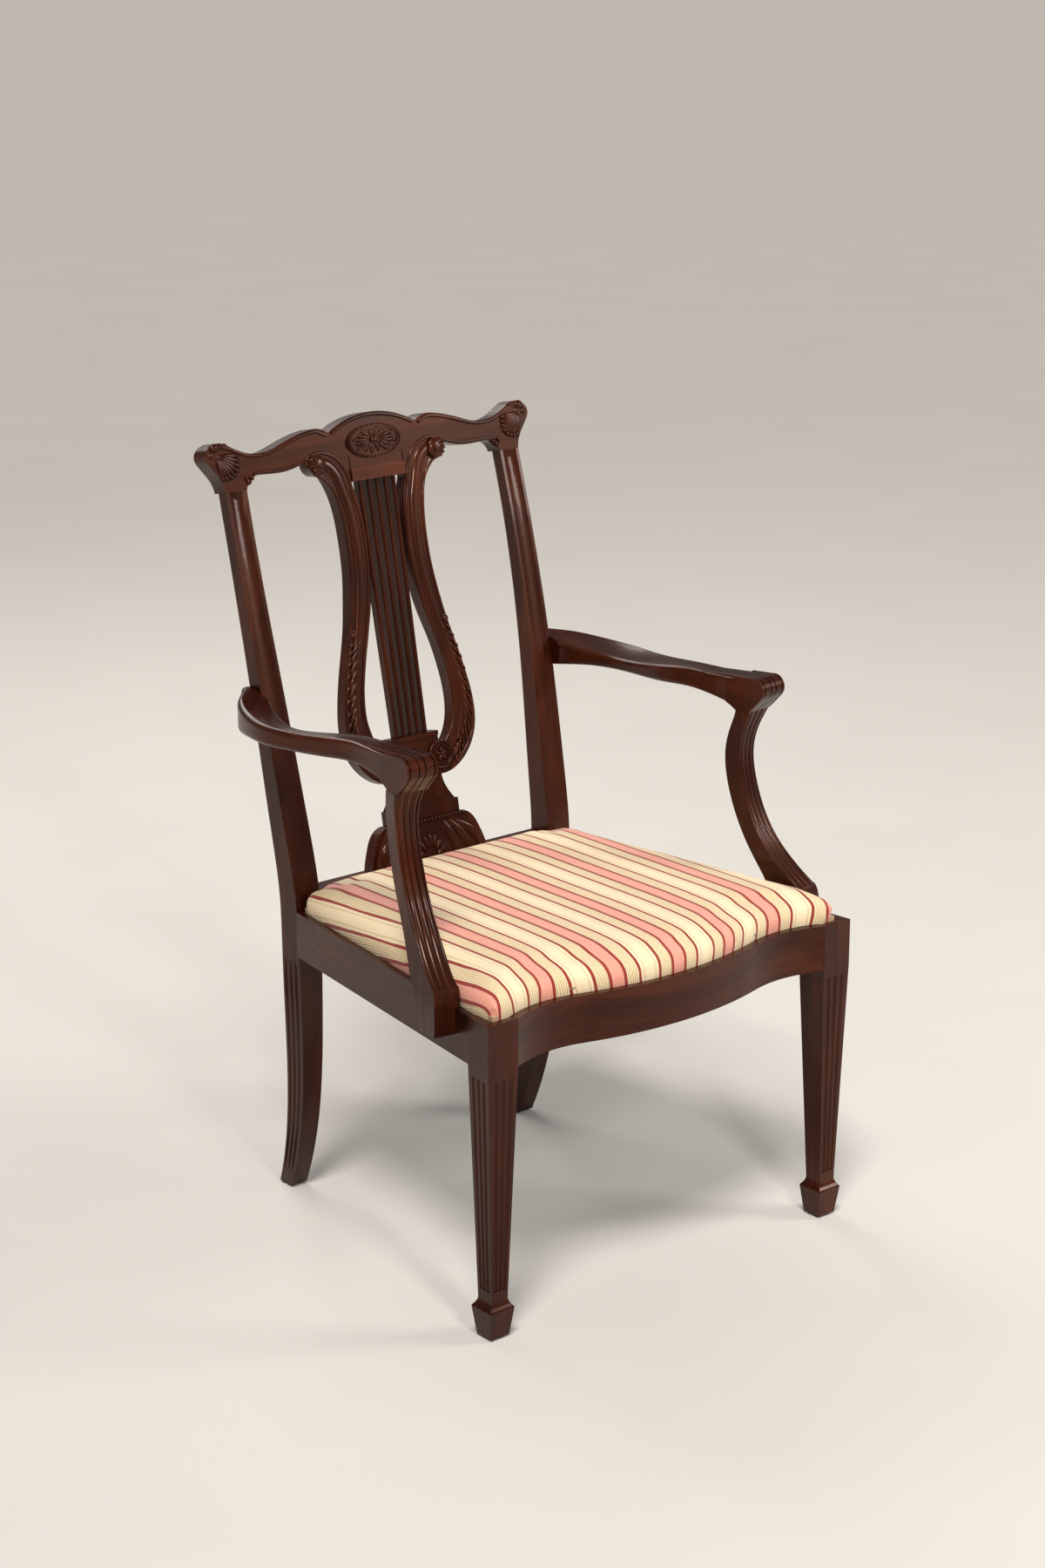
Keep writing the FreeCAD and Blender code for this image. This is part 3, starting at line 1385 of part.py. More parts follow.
for side, s in sides.items():
    name = f"seat_frame_{side}"
    bar = new_body(name)
    plan = new_sketch(bar, "XY_Plane", "Plan", raised(frame_low))
    y0, y1 = front_bar, rear_bar
    a, b = seat_side_x(y0), seat_side_x(y1)
    draw(plan, polygon(mirrored([(a, y0), (b, y1), (b - size.frame_width, y1), (a - size.frame_width, y0)], s)))
    pad(bar, plan, "Bar", cell("frame_thick"))
    gap = size.glue_gap
    for number, (host, x, y, length) in enumerate((
            ("seat_frame_front", a - 38, y0 - 20, 22), ("seat_frame_rear", b - 38, y1 - 2, 22))):
        x0 = min(s * x, s * (x + 26))
        z = frame_low + 6
        tongue(bar, f"Tenon{number}", at(x0, y, z), 26, length, 6)
        start = y - gap if number == 0 else y1
        socket(bodies[host], f"Mortise{s + 1}", at(x0 - gap, start, z - gap), 26 + 2 * gap, 20 + 2 * gap, 6 + 2 * gap)
    bodies[name] = bar
    keep(bar, name)

# Seat screws come up through the corner blocks into the seat frame
for side, s in sides.items():
    for number, (host, x, y, bar) in enumerate((
            (f"front_{side}_corner_block", leg_inner - 8, leg_back + 12, "seat_frame_front"),
            (f"rear_{side}_corner_block", stile_inner - 2, stile_front - 16, "seat_frame_rear"))):
        seat_screws.append(screw(
            f"Seat{s + 1}{number}", (s * x, y, block_low - 0.3), (0, 0, 1), block_top - block_low + 14, [host, bar]))

keep(group("corner_block_screws", block_screws), "corner_block_screws")
keep(group("arm_support_screws", support_screws), "arm_support_screws")
keep(group("seat_screws", seat_screws), "seat_screws")


def strap(name, points, low):
    face = Part.Face(Part.makePolygon([Vector(x, y, low) for x, y in points + points[:1]]))
    thing = doc.addObject("Part::Feature", name)
    thing.Shape = face.extrude(Vector(0, 0, size.web_thick))
    return thing


cross_straps = []
count = int(size.web_count_x)
half_web = size.web_width / 2
for number in range(count):
    y = front_bar + 25 + (rear_bar - front_bar - 50) * number / (count - 1)
    a, b = seat_side_x(y - half_web) - 9, seat_side_x(y + half_web) - 9
    cross_straps.append(strap(
        f"CrossStrap{number}", [(-a, y - half_web), (a, y - half_web), (b, y + half_web), (-b, y + half_web)], frame_top))
keep(group("webbing_cross", cross_straps), "webbing_cross")
long_straps = []
count = int(size.web_count_y)
for number in range(count):
    x = (number / (count - 1) * 2 - 1) * 128
    long_straps.append(strap(
        f"LongStrap{number}",
        [(x - half_web, front_bar - 42), (x + half_web, front_bar - 42),
         (x + half_web, seat_rear - 12), (x - half_web, seat_rear - 12)], frame_top + size.web_thick))
keep(group("webbing_long", long_straps), "webbing_long")

pad_low = frame_top + 2 * size.web_thick
crown_rows = [
    (0, 0.998), (0.28, 1.0), (0.52, 0.985), (0.72, 0.94), (0.87, 0.84), (0.965, 0.66), (1.0, 0.42)]


def crowned(body, prefix, grow, rise):
    sketches = []
    for number, (share, scale) in enumerate(crown_rows):
        z = pad_low + share * size.pad_crown + (rise if number else 0)
        sketch = new_sketch(body, "XY_Plane", f"{prefix}{number}", raised(z))
        draw(sketch, seat_edges(scale * (1 + grow / 235)))
        sketches.append(sketch)
    return loft(body, sketches, prefix + "Loft")


def seat_pad():
    body = new_body("seat_pad")
    crowned(body, "Crown", 0, 0)
    bodies["seat_pad"] = body
    keep(body, "seat_pad")


seat_pad()


def cover_shape(name, grow, rise, low):
    body = new_body(name)
    wall = new_sketch(body, "XY_Plane", "Wall", raised(low))
    draw(wall, seat_edges(crown_rows[0][1] * (1 + grow / 235)))
    pad(body, wall, "WallPad", pad_low - low)
    crowned(body, "Crown", grow, rise)
    return body


cover_low = frame_low - size.cambric_thick + 0.3
outer_cover = cover_shape("CoverOuter", size.cover_gap + size.cover_thick, size.cover_gap + size.cover_thick, cover_low)
inner_cover = cover_shape("CoverInner", size.cover_gap, size.cover_gap, cover_low - 2)
cover = doc.addObject("Part::Cut", "seat_cover")
cover.Base = outer_cover
cover.Tool = inner_cover
keep(cover, "seat_cover")

cambric = new_body("dust_cover")
plan = new_sketch(cambric, "XY_Plane", "Plan", raised(frame_low - size.cambric_thick))
draw(plan, seat_edges(0.985))
pad(cambric, plan, "Cloth", cell("cambric_thick"))
bodies["dust_cover"] = cambric
for side, s in sides.items():
    for number, (x, y) in enumerate(((leg_inner - 8, leg_back + 12), (stile_inner - 2, stile_front - 16))):
        bore(cambric, f"ScrewHole{s + 1}{number}", at(s * x, y, frame_low - 5), size.screw_radius + 0.3, 10)
keep(cambric, "dust_cover")

# Glides under the four feet
glides = []
foot_x = size.leg_half - size.spade_inset
foot_y = front + size.spade_back
heel_x = size.foot_half - size.foot_width / 2
heel_y = stile_front + size.foot_sweep + size.foot_depth / 2
for number, (x, y) in enumerate(((-foot_x, foot_y), (foot_x, foot_y), (-heel_x, heel_y), (heel_x, heel_y))):
    glides.append(cylinder(f"Glide{number}", cell("glide_radius"), cell("glide_height"), Vector(x, y, 0), Vector(0, 0, 1)))
keep(group("glides", glides), "glides")


# Checks and export
doc.recompute()
for thing in pieces:
    state = [word for word in thing.State if word in ("Invalid", "Error")]
    shape = thing.Shape
    if state or shape.isNull() or not shape.isValid():
        raise RuntimeError(f"{thing.Label} did not build: {thing.State}")
for thing in pieces:
    thing.Shape.exportStep(f"parts/{thing.Label}.step")
    print(thing.Label, len(thing.Shape.Solids), round(thing.Shape.Volume))
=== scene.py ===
import bpy
import math
from mathutils import Vector, Matrix


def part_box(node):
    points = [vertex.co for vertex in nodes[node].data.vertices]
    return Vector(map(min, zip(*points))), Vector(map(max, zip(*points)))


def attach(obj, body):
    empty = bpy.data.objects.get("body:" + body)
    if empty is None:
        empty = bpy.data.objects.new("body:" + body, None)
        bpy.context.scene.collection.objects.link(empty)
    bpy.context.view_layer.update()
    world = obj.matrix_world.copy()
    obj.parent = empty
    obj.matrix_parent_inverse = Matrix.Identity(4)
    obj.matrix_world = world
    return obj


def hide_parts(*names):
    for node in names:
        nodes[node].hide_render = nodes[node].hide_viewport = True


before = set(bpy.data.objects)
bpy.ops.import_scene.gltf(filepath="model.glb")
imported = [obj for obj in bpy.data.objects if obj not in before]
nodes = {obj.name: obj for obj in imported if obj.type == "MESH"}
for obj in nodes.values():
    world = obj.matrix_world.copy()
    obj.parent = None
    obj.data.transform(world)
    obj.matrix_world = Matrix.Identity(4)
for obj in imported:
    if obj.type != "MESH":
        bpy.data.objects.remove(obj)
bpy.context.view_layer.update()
print("frame loaded:", len(nodes), "pieces")

# Small tools for materials
def newMaterial(name):
    material = bpy.data.materials.new(name)
    material.use_nodes = True
    tree = material.node_tree
    return material, tree, tree.nodes["Principled BSDF"]


def addNode(tree, kind, **settings):
    node = tree.nodes.new(kind)
    for key, value in settings.items():
        setattr(node, key, value)
    return node


# Sets an input to a number or a colour, or links it to another node's output
def feed(tree, socket, value):
    if isinstance(value, (int, float)):
        socket.default_value = value
    elif isinstance(value, tuple):
        socket.default_value = (*value, 1.0)
    else:
        tree.links.new(value, socket)


def objectSpace(tree, scale=(1, 1, 1)):
    coords = addNode(tree, "ShaderNodeTexCoord")
    mapping = addNode(tree, "ShaderNodeMapping")
    mapping.inputs["Scale"].default_value = scale
    tree.links.new(coords.outputs["Object"], mapping.inputs["Vector"])
    return mapping.outputs["Vector"]


def noise(tree, vector, scale, detail=4.0, rough=0.5, distortion=0.0):
    node = addNode(tree, "ShaderNodeTexNoise")
    node.inputs["Scale"].default_value = scale
    node.inputs["Detail"].default_value = detail
    node.inputs["Roughness"].default_value = rough
    node.inputs["Distortion"].default_value = distortion
    tree.links.new(vector, node.inputs["Vector"])
    return node.outputs["Fac"]


def wave(tree, vector, direction, scale, distortion=0.0):
    node = addNode(tree, "ShaderNodeTexWave", wave_type="BANDS", bands_direction=direction)
    node.inputs["Scale"].default_value = scale
    node.inputs["Distortion"].default_value = distortion
    tree.links.new(vector, node.inputs["Vector"])
    return node.outputs["Fac"]


def ramp(tree, fac, stops, steps=False):
    node = addNode(tree, "ShaderNodeValToRGB")
    elements = node.color_ramp.elements
    while len(elements) < len(stops):
        elements.new(0.5)
    for element, (place, color) in zip(elements, stops):
        element.position = place
        element.color = (*color, 1.0)
    if steps:
        node.color_ramp.interpolation = "CONSTANT"
    tree.links.new(fac, node.inputs["Fac"])
    return node.outputs["Color"]


def mixColor(tree, kind, fac, first, second):
    node = addNode(tree, "ShaderNodeMix", data_type="RGBA", blend_type=kind)
    feed(tree, node.inputs["Factor"], fac)
    feed(tree, node.inputs["A"], first)
    feed(tree, node.inputs["B"], second)
    return node.outputs["Result"]


def spread(tree, value, low, high, fromLow=0.0, fromHigh=1.0):
    node = addNode(tree, "ShaderNodeMapRange")
    node.inputs["From Min"].default_value = fromLow
    node.inputs["From Max"].default_value = fromHigh
    node.inputs["To Min"].default_value = low
    node.inputs["To Max"].default_value = high
    tree.links.new(value, node.inputs["Value"])
    return node.outputs["Result"]


def bump(tree, shader, height, distance, strength=1.0):
    node = addNode(tree, "ShaderNodeBump")
    node.inputs["Strength"].default_value = strength
    node.inputs["Distance"].default_value = distance
    tree.links.new(height, node.inputs["Height"])
    tree.links.new(node.outputs["Normal"], shader.inputs["Normal"])


def mathNode(tree, operation, *values):
    node = addNode(tree, "ShaderNodeMath", operation=operation)
    for value, socket in zip(values, node.inputs):
        feed(tree, socket, value)
    return node.outputs["Value"]


def product(tree, first, *others):
    for other in others:
        first = mathNode(tree, "MULTIPLY", first, other)
    return first


# How far a value lies through its repeat, from zero to one
def repeated(tree, value, width, offset=100):
    turns = mathNode(tree, "DIVIDE", value, width)
    return mathNode(tree, "FRACT", mathNode(tree, "ADD", turns, offset))


def awayFrom(tree, value, middle):
    return mathNode(tree, "ABSOLUTE", mathNode(tree, "SUBTRACT", value, middle))


# Mahogany: grain runs along the piece, pores, painted shade darkening the recesses, and a warm
# lacquer over it
mahoganyLook = dict(
    dark=(0.0088, 0.0017, 0.0009),
    middle=(0.030, 0.0052, 0.0019),
    light=(0.077, 0.0162, 0.0050),
    # Near-black brown of the painted shade in recesses, and how far the painted shade reaches
    paintedShadeColor=(0.005, 0.0014, 0.0009),
    paintedShadeReach=0.007,
    rough=(0.27, 0.38),
    coat=0.18,
    coatRough=0.09,
    shine=0.24,
    shineTint=(1.0, 0.5, 0.32),
    stretch=0.07,
    figureScale=16,
    grainScale=150,
    poreScale=900,
    relief=0.0002,
)


def mahogany(name, along):
    look = mahoganyLook
    material, tree, shader = newMaterial(name)
    place = objectSpace(tree, [look["stretch"] if axis == along else 1 for axis in "xyz"])
    figure = noise(tree, place, look["figureScale"], 5, 0.55, 0.9)
    grain = noise(tree, place, look["grainScale"], 4, 0.6, 0.3)
    pores = noise(tree, place, look["poreScale"], 2, 0.5, 0.0)
    base = ramp(tree, figure, [(0.25, look["dark"]), (0.5, look["middle"]), (0.78, look["light"])])
    streak = ramp(tree, grain, [(0.32, (0.55, 0.5, 0.48)), (0.62, (1.15, 1.12, 1.1))])
    base = mixColor(tree, "MULTIPLY", 0.75, base, streak)
    pore = ramp(tree, pores, [(0.34, (0.45, 0.42, 0.4)), (0.44, (1, 1, 1))])
    base = mixColor(tree, "MULTIPLY", 0.5, base, pore)
    # Painted shade: the colour is darkened towards a near-black brown in recesses, within a few
    # millimetres of other surfaces, by an ambient occlusion mask
    paintedShadeOcclusion = addNode(tree, "ShaderNodeAmbientOcclusion", samples=6, only_local=False)
    paintedShadeOcclusion.inputs["Distance"].default_value = look["paintedShadeReach"]
    shade = spread(tree, paintedShadeOcclusion.outputs["AO"], 0.85, 0.0, 0.2, 0.72)
    base = mixColor(tree, "MIX", shade, base, look["paintedShadeColor"])
    tree.links.new(base, shader.inputs["Base Color"])
    gloss = spread(tree, grain, look["rough"][1], look["rough"][0], 0.3, 0.7)
    tree.links.new(gloss, shader.inputs["Roughness"])
    shader.inputs["Coat Weight"].default_value = look["coat"]
    shader.inputs["Coat Roughness"].default_value = look["coatRough"]
    shader.inputs["Coat IOR"].default_value = 1.5
    shader.inputs["Specular IOR Level"].default_value = look["shine"]
    shader.inputs["Specular Tint"].default_value = (*look["shineTint"], 1)
    height = mathNode(tree, "ADD", product(tree, pores, 0.5), product(tree, grain, 0.5))
    bump(tree, shader, height, look["relief"], 0.35)
    return material


mahoganyUp = mahogany("mahogany_upright", "z")
mahoganyAcross = mahogany("mahogany_across", "x")
mahoganyDeep = mahogany("mahogany_front_to_back", "y")

# Hidden beech of the seat frame and the blocks
beechLook = dict(
    dark=(0.36, 0.23, 0.12), middle=(0.5, 0.34, 0.19), light=(0.58, 0.42, 0.25),
    fleck=(0.72, 0.66, 0.6), stretch=0.12, figureScale=30, fleckScale=420, rough=0.62)


def innerWood():
    look = beechLook
    material, tree, shader = newMaterial("inner_beech")
    place = objectSpace(tree, (look["stretch"], 1, 1))
    figure = noise(tree, place, look["figureScale"], 5, 0.6, 0.6)
    color = ramp(tree, figure, [(0.3, look["dark"]), (0.6, look["middle"]), (0.8, look["light"])])
    specks = noise(tree, place, look["fleckScale"], 2)
    fleck = ramp(tree, specks, [(0.36, look["fleck"]), (0.46, (1, 1, 1))])
    tree.links.new(mixColor(tree, "MULTIPLY", 0.6, color, fleck), shader.inputs["Base Color"])
    shader.inputs["Roughness"].default_value = look["rough"]
    bump(tree, shader, figure, 0.0003, 0.4)
    return material


# Plain woven cloths, each with its colour, the dark between its threads and a thread's width
clothLooks = dict(
    webbing=dict(color=(0.42, 0.33, 0.2), dark=(0.2, 0.15, 0.09), thread=0.0022),
    dust=dict(color=(0.022, 0.022, 0.024), dark=(0.006, 0.006, 0.007), thread=0.0011),
    wadding=dict(color=(0.7, 0.67, 0.6), dark=(0.5, 0.47, 0.4), thread=0.003))


def plainCloth(name, look):
    material, tree, shader = newMaterial(name)
    place = objectSpace(tree)
    fineness = 0.32 / look["thread"]
    weave = product(tree, wave(tree, place, "X", fineness), wave(tree, place, "Y", fineness))
    cover = spread(tree, weave, 0.0, 1.0, 0.0, 0.6)
    tone = mixColor(tree, "MIX", cover, look["dark"], look["color"])
    cloud = noise(tree, place, 45, 4)
    shading = ramp(tree, cloud, [(0.3, (0.75, 0.75, 0.75)), (0.7, (1.1, 1.1, 1.1))])
    tone = mixColor(tree, "MULTIPLY", 0.4, tone, shading)
    tree.links.new(tone, shader.inputs["Base Color"])
    shader.inputs["Roughness"].default_value = 0.9
    bump(tree, shader, weave, look["thread"] * 0.35, 0.6)
    return material


steelLook = dict(dark=(0.3, 0.3, 0.31), light=(0.5, 0.5, 0.5), rough=(0.28, 0.5))


def screwSteel():
    look = steelLook
    material, tree, shader = newMaterial("screw_steel")
    place = objectSpace(tree)
    shader.inputs["Metallic"].default_value = 1.0
    tone = ramp(tree, noise(tree, place, 300, 3), [(0.3, look["dark"]), (0.7, look["light"])])
    tree.links.new(tone, shader.inputs["Base Color"])
    gloss = spread(tree, noise(tree, place, 900, 2), *look["rough"])
    tree.links.new(gloss, shader.inputs["Roughness"])
    return material


nylonLook = dict(dark=(0.5, 0.48, 0.44), light=(0.72, 0.71, 0.67), rough=0.45)


def glideNylon():
    look = nylonLook
    material, tree, shader = newMaterial("glide_nylon")
    place = objectSpace(tree)
    tone = ramp(tree, noise(tree, place, 160, 4), [(0.3, look["dark"]), (0.7, look["light"])])
    tree.links.new(tone, shader.inputs["Base Color"])
    shader.inputs["Roughness"].default_value = look["rough"]
    bump(tree, shader, noise(tree, place, 700, 2), 0.0002, 0.4)
    return material


finishOf = [
    (mahoganyUp, [
        "left_stile", "right_stile", "lyre_left_arm", "lyre_right_arm", "lyre_bridge",
        "splat_pedestal", "front_left_leg", "front_right_leg", "left_arm_support",
        "right_arm_support",
        "lyre_string_1", "lyre_string_2", "lyre_string_3", "lyre_string_4", "lyre_string_5"]),
    (mahoganyAcross, ["crest_rail", "splat_shoe", "front_seat_rail", "rear_seat_rail"]),
    (mahoganyDeep, ["left_seat_rail", "right_seat_rail", "left_arm", "right_arm"]),
    (innerWood(), [
        "front_left_corner_block", "front_right_corner_block", "rear_left_corner_block",
        "rear_right_corner_block", "seat_frame_front", "seat_frame_rear", "seat_frame_left",
        "seat_frame_right", "joint_dowels"]),
    (screwSteel(), ["corner_block_screws", "arm_support_screws", "seat_screws"]),
    (plainCloth("jute_webbing", clothLooks["webbing"]), ["webbing_cross", "webbing_long"]),
    (plainCloth("black_dust_cloth", clothLooks["dust"]), ["dust_cover"]),
    (plainCloth("cotton_wadding", clothLooks["wadding"]), ["seat_pad", "seat_cover"]),
    (glideNylon(), ["glides"]),
]
for finish, names in finishOf:
    for name in names:
        piece = nodes[name]
        if not piece.material_slots:
            piece.data.materials.append(finish)
        else:
            for slot in piece.material_slots:
                slot.material = finish
print("finishes set")

# Modelling tools
# The back is drawn flat, in mm: x across, y up its slope from the rails, z out of its front face
back = dict(rake=11.7, depth=171.5, foot=405)
backRake = math.radians(back["rake"])
backFoot = Vector((0, back["depth"] / 1000, back["foot"] / 1000))
backMatrix = Matrix.Translation(backFoot) @ Matrix.Rotation(math.pi / 2 - backRake, 4, "X")


# Way up the slope of the back for a height in millimetres above the floor
def up(height):
    return (height - back["foot"]) / math.cos(backRake)


def pick(*objects):
    bpy.ops.object.select_all(action="DESELECT")
    for item in objects:
        item.select_set(True)
    bpy.context.view_layer.objects.active = objects[0]


def applyPlace(item):
    pick(item)
    bpy.ops.object.transform_apply(location=True, rotation=True, scale=True)


# Makes one piece of the items and puts it on the chair's back
def joined(name, items, material):
    for item in items:
        applyPlace(item)
    pick(*items)
    if len(items) > 1:
        bpy.ops.object.join()
    piece = bpy.context.object
    piece.name = name
    piece.data.name = name
    piece.matrix_world = backMatrix @ Matrix.Scale(0.001, 4)
    applyPlace(piece)
    bpy.ops.object.shade_smooth_by_angle(angle=math.radians(40))
    piece.data.materials.clear()
    piece.data.materials.append(material)
    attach(piece, "root")
    return piece


# A node's copy with a mesh of its own
def twin(node, name):
    copy = nodes[node].copy()
    copy.data = nodes[node].data.copy()
    bpy.context.collection.objects.link(copy)
    copy.name = name
    copy.data.name = name
    return copy


# A rounded bead or leaf, scaled to its three radii and turned in the flat of the carving
def drop(place, radii, turn=0.0, rings=8, segments=12):
    bpy.ops.mesh.primitive_uv_sphere_add(
        segments=segments, ring_count=rings, radius=1, location=place)
    item = bpy.context.object
    item.scale = radii
    item.rotation_euler = (0, 0, turn)
    return item


# Drops from a list of place with height above the floor, radii, turn in degrees, rings and
# segments, on the left side or mirrored to the right
def drops(items, s):
    return [
        drop((s * x, up(z), out), radii, math.radians(turn * s), rings, segments)
        for (x, z, out), radii, turn, rings, segments in items]


def beadRow(places, radius, out):
    return [drop((x, y, out), (radius, radius, radius), rings=6, segments=8) for x, y in places]


def onOval(centre, wide, tall, count):
    angles = [2 * math.pi * number / count for number in range(count)]
    return [(centre[0] + wide * math.cos(a), centre[1] + tall * math.sin(a)) for a in angles]


# An angle drawn for the right side, as it is on the side s
def sided(angle, s):
    return angle if s > 0 else math.pi - angle


# A smooth round moulding along a few points, made a mesh and pressed flat, so that only a low
# swell stands out of the board
tubeMesh = dict(order=3, steps=6, round=3)


def flatTube(points, radius, flat, taper=None):
    bpy.ops.curve.primitive_bezier_curve_add()
    item = bpy.context.object
    item.data.splines.clear()
    spline = item.data.splines.new("NURBS")
    spline.points.add(len(points) - 1)
    for number, (point, spot) in enumerate(zip(spline.points, points)):
        point.co = (*spot, 1)
        point.radius = 1 if taper is None else taper[number]
    spline.order_u = tubeMesh["order"]
    spline.use_endpoint_u = True
    spline.resolution_u = tubeMesh["steps"]
    item.data.dimensions = "3D"
    item.data.bevel_depth = radius
    item.data.bevel_resolution = tubeMesh["round"]
    item.data.use_fill_caps = True
    pick(item)
    bpy.ops.object.convert(target="MESH")
    item = bpy.context.object
    item.scale.z = flat
    return item


def onBack(points, s):
    return [(s * x, up(z), 0) for x, z in points]


# Adds a modifier with its settings and applies it
def shaped(piece, kind, **settings):
    modifier = piece.modifiers.new(kind.lower(), kind)
    for key, value in settings.items():
        setattr(modifier, key, value)
    bpy.ops.object.modifier_apply(modifier=modifier.name)


# Lyre arms: a thin bead along each edge and a broad swell between them
# Stations down the arm, outer edge and inner edge
lyreEdges = [
    ((84, 927), (47, 917)), ((76, 914), (43, 903)), ((69.5, 892), (36.5, 884)),
    ((66, 865), (33.8, 862)), ((65, 838), (33, 838)), ((66, 805), (34, 805)),
    ((70.5, 772), (38.2, 774)), ((79, 728), (48.5, 730)), ((90, 690), (60, 694)),
    ((101, 646), (70, 652)), ((105.5, 608), (72.2, 628)), ((101, 578), (67.5, 602)),
    ((87, 554), (59.5, 583)), ((66, 538), (50, 573))]
# The crook that carries the moulding over onto the crest and out to the scroll
lyreCrook = dict(
    outer=[(101, 934.5), (92, 932.5), (84.5, 926)],
    swell=[(97, 948), (86, 947.5), (74, 941.5), (66, 930), (62, 918)],
    inner=[
        (111, 944), (110, 953), (101, 960), (86, 961), (70, 956), (57, 945), (48.5, 929),
        (45.5, 915)])
lyreMoulding = dict(
    outer=0.07, inner=0.93, bead=2.3, beadFlat=0.8,
    swell=8.6, swellFlat=0.36, swellStart=[0.75, 0.85, 0.9, 0.95], swellEnd=0.6)


def acrossBand(edges, share, s):
    return [
        (s * (outer[0] + (inner[0] - outer[0]) * share),
         up(outer[1] + (inner[1] - outer[1]) * share), 0)
        for outer, inner in edges]


for side, s in (("left", -1), ("right", 1)):
    look = lyreMoulding
    parts = [
        flatTube(
            onBack(lyreCrook[edge], s) + acrossBand(lyreEdges[1:], look[edge], s),
            look["bead"], look["beadFlat"])
        for edge in ("outer", "inner")]
    line = onBack(lyreCrook["swell"], s) + acrossBand(lyreEdges[1:-1], 0.5, s)
    full = [1.0] * (len(line) - len(look["swellStart"]) - 1)
    taper = look["swellStart"] + full + [look["swellEnd"]]
    parts.append(flatTube(line, look["swell"], look["swellFlat"], taper))
    joined(f"{side}_lyre_mouldings", parts, mahoganyUp)

# Crest: a rolled bead under its top edge and a finer one above its lower edge
crestTop = [
    (240, 986), (226, 983.2), (213, 976.4), (197, 970), (180, 968.4), (164, 970), (148, 975),
    (120, 983.2), (97, 988), (85, 987), (75, 981)]
crestLow = [(112, 954.6), (127, 950.2), (145, 947.4), (165, 947.2), (182, 948.2), (193, 947)]
crestArch = dict(radius=135.2, middle=864.6, reach=29, steps=12)
crestBead = dict(top=2.6, low=1.7, flat=0.85)
parts = []
for s in (-1, 1):
    parts.append(flatTube(onBack(crestTop, s), crestBead["top"], crestBead["flat"]))
    parts.append(flatTube(onBack(crestLow, s), crestBead["low"], crestBead["flat"]))
archLine = []
for number in range(crestArch["steps"] + 1):
    angle = math.radians(crestArch["reach"] * (number / (crestArch["steps"] / 2) - 1))
    height = crestArch["middle"] + crestArch["radius"] * math.cos(angle)
    archLine.append((crestArch["radius"] * math.sin(angle), up(height), 0))
parts.append(flatTube(archLine, crestBead["top"], crestBead["flat"]))
joined("crest_mouldings", parts, mahoganyAcross)
print("mouldings made")

# Oval patera in the tablet: petals round a boss inside a ring of beads
# A petal is a long drop and a small one at its tip, each placed by its share of the oval
patera = dict(
    height=967, long=36.0, short=17.0, petals=16, petalWidth=3.3, shorter=0.88,
    beads=46, beadRadius=1.55, beadGap=(4.2, 3.4), beadOut=3.4,
    boss=6.4, bossHeight=3.4, bossOut=1.8)
petal = dict(place=0.58, length=0.42, height=2.3, out=1.3)
petalTip = dict(place=0.86, length=0.13, width=0.8, height=1.9, out=1.5)
parts = []
centreY = up(patera["height"])
for number in range(patera["petals"]):
    angle = 2 * math.pi * (number + 0.5) / patera["petals"]
    x, y = patera["long"] * math.cos(angle), patera["short"] * math.sin(angle)
    reach = math.hypot(x, y)
    lean = math.atan2(y, x)
    longer = 1.0 if number % 2 else patera["shorter"]
    width = patera["petalWidth"] * (0.75 + 0.25 * abs(math.sin(lean)))
    near, far = petal["place"], petalTip["place"]
    parts.append(drop(
        (near * x * longer, centreY + near * y * longer, petal["out"]),
        (petal["length"] * reach * longer, width, petal["height"]), lean))
    parts.append(drop(
        (far * x * longer, centreY + far * y * longer, petalTip["out"]),
        (petalTip["length"] * reach, patera["petalWidth"] * petalTip["width"], petalTip["height"]),
        lean, 6, 8))
parts.append(drop(
    (0, centreY, patera["bossOut"]), (patera["boss"], patera["boss"], patera["bossHeight"]),
    0, 10, 20))
ring = onOval(
    (0, centreY), patera["long"] + patera["beadGap"][0], patera["short"] + patera["beadGap"][1],
    patera["beads"])
parts += beadRow(ring, patera["beadRadius"], patera["beadOut"])
joined("patera_flower", parts, mahoganyAcross)
print("patera carved")

# Ears of the crest: a shell of reeds fanning from the rolled end, and a small scroll inside
# below it
ear = dict(
    hinge=(245, 975), ribs=8, first=-174, last=-102, length=19.5, shorter=0.18, width=3.5,
    height=2.6, out=-0.2, tipPlace=1.86, tip=(4.0, 3.3, 2.9), tipOut=0.3)
earBalls = [
    ((246, 985, -1), (7.5, 6.0, 5.0), 0, 10, 16),
    ((252.5, 976, -3), (6.0, 8.0, 4.6), 0, 10, 16),
    ((234, 985.5, -0.6), (8, 3.6, 3.4), -12, 8, 12),
    ((221, 931, -3.7), (15.5, 15.0, 3.3), 0, 12, 20)]
bracketBalls = [
    ((201, 938.5, -4), (5.4, 5.0, 8.0), 0, 10, 14),
    ((196, 942.5, -2.5), (4.4, 3.4, 6.0), 35, 8, 12),
    ((204, 944, -1), (3.4, 4.4, 4.6), 0, 8, 12)]
for side, s in (("left", -1), ("right", 1)):
    parts = []
    hingeX, hingeY = ear["hinge"][0], up(ear["hinge"][1])
    for number in range(ear["ribs"]):
        share = number / (ear["ribs"] - 1)
        angle = math.radians(ear["first"] + (ear["last"] - ear["first"]) * share)
        half = ear["length"] * (1 - ear["shorter"] * abs(2 * share - 1))
        turn = sided(angle, s)
        x, y = hingeX + math.cos(angle) * (half + 1), hingeY + math.sin(angle) * (half + 1)
        parts.append(drop((s * x, y, ear["out"]), (half, ear["width"], ear["height"]), turn))
        tipAt = half * ear["tipPlace"]
        x, y = hingeX + math.cos(angle) * tipAt, hingeY + math.sin(angle) * tipAt
        parts.append(drop((s * x, y, ear["tipOut"]), ear["tip"], turn, 6, 10))
    joined(f"{side}_ear_shell", parts + drops(earBalls, s), mahoganyUp)
    joined(f"{side}_bracket_scroll", drops(bracketBalls, s), mahoganyUp)
print("ears carved")

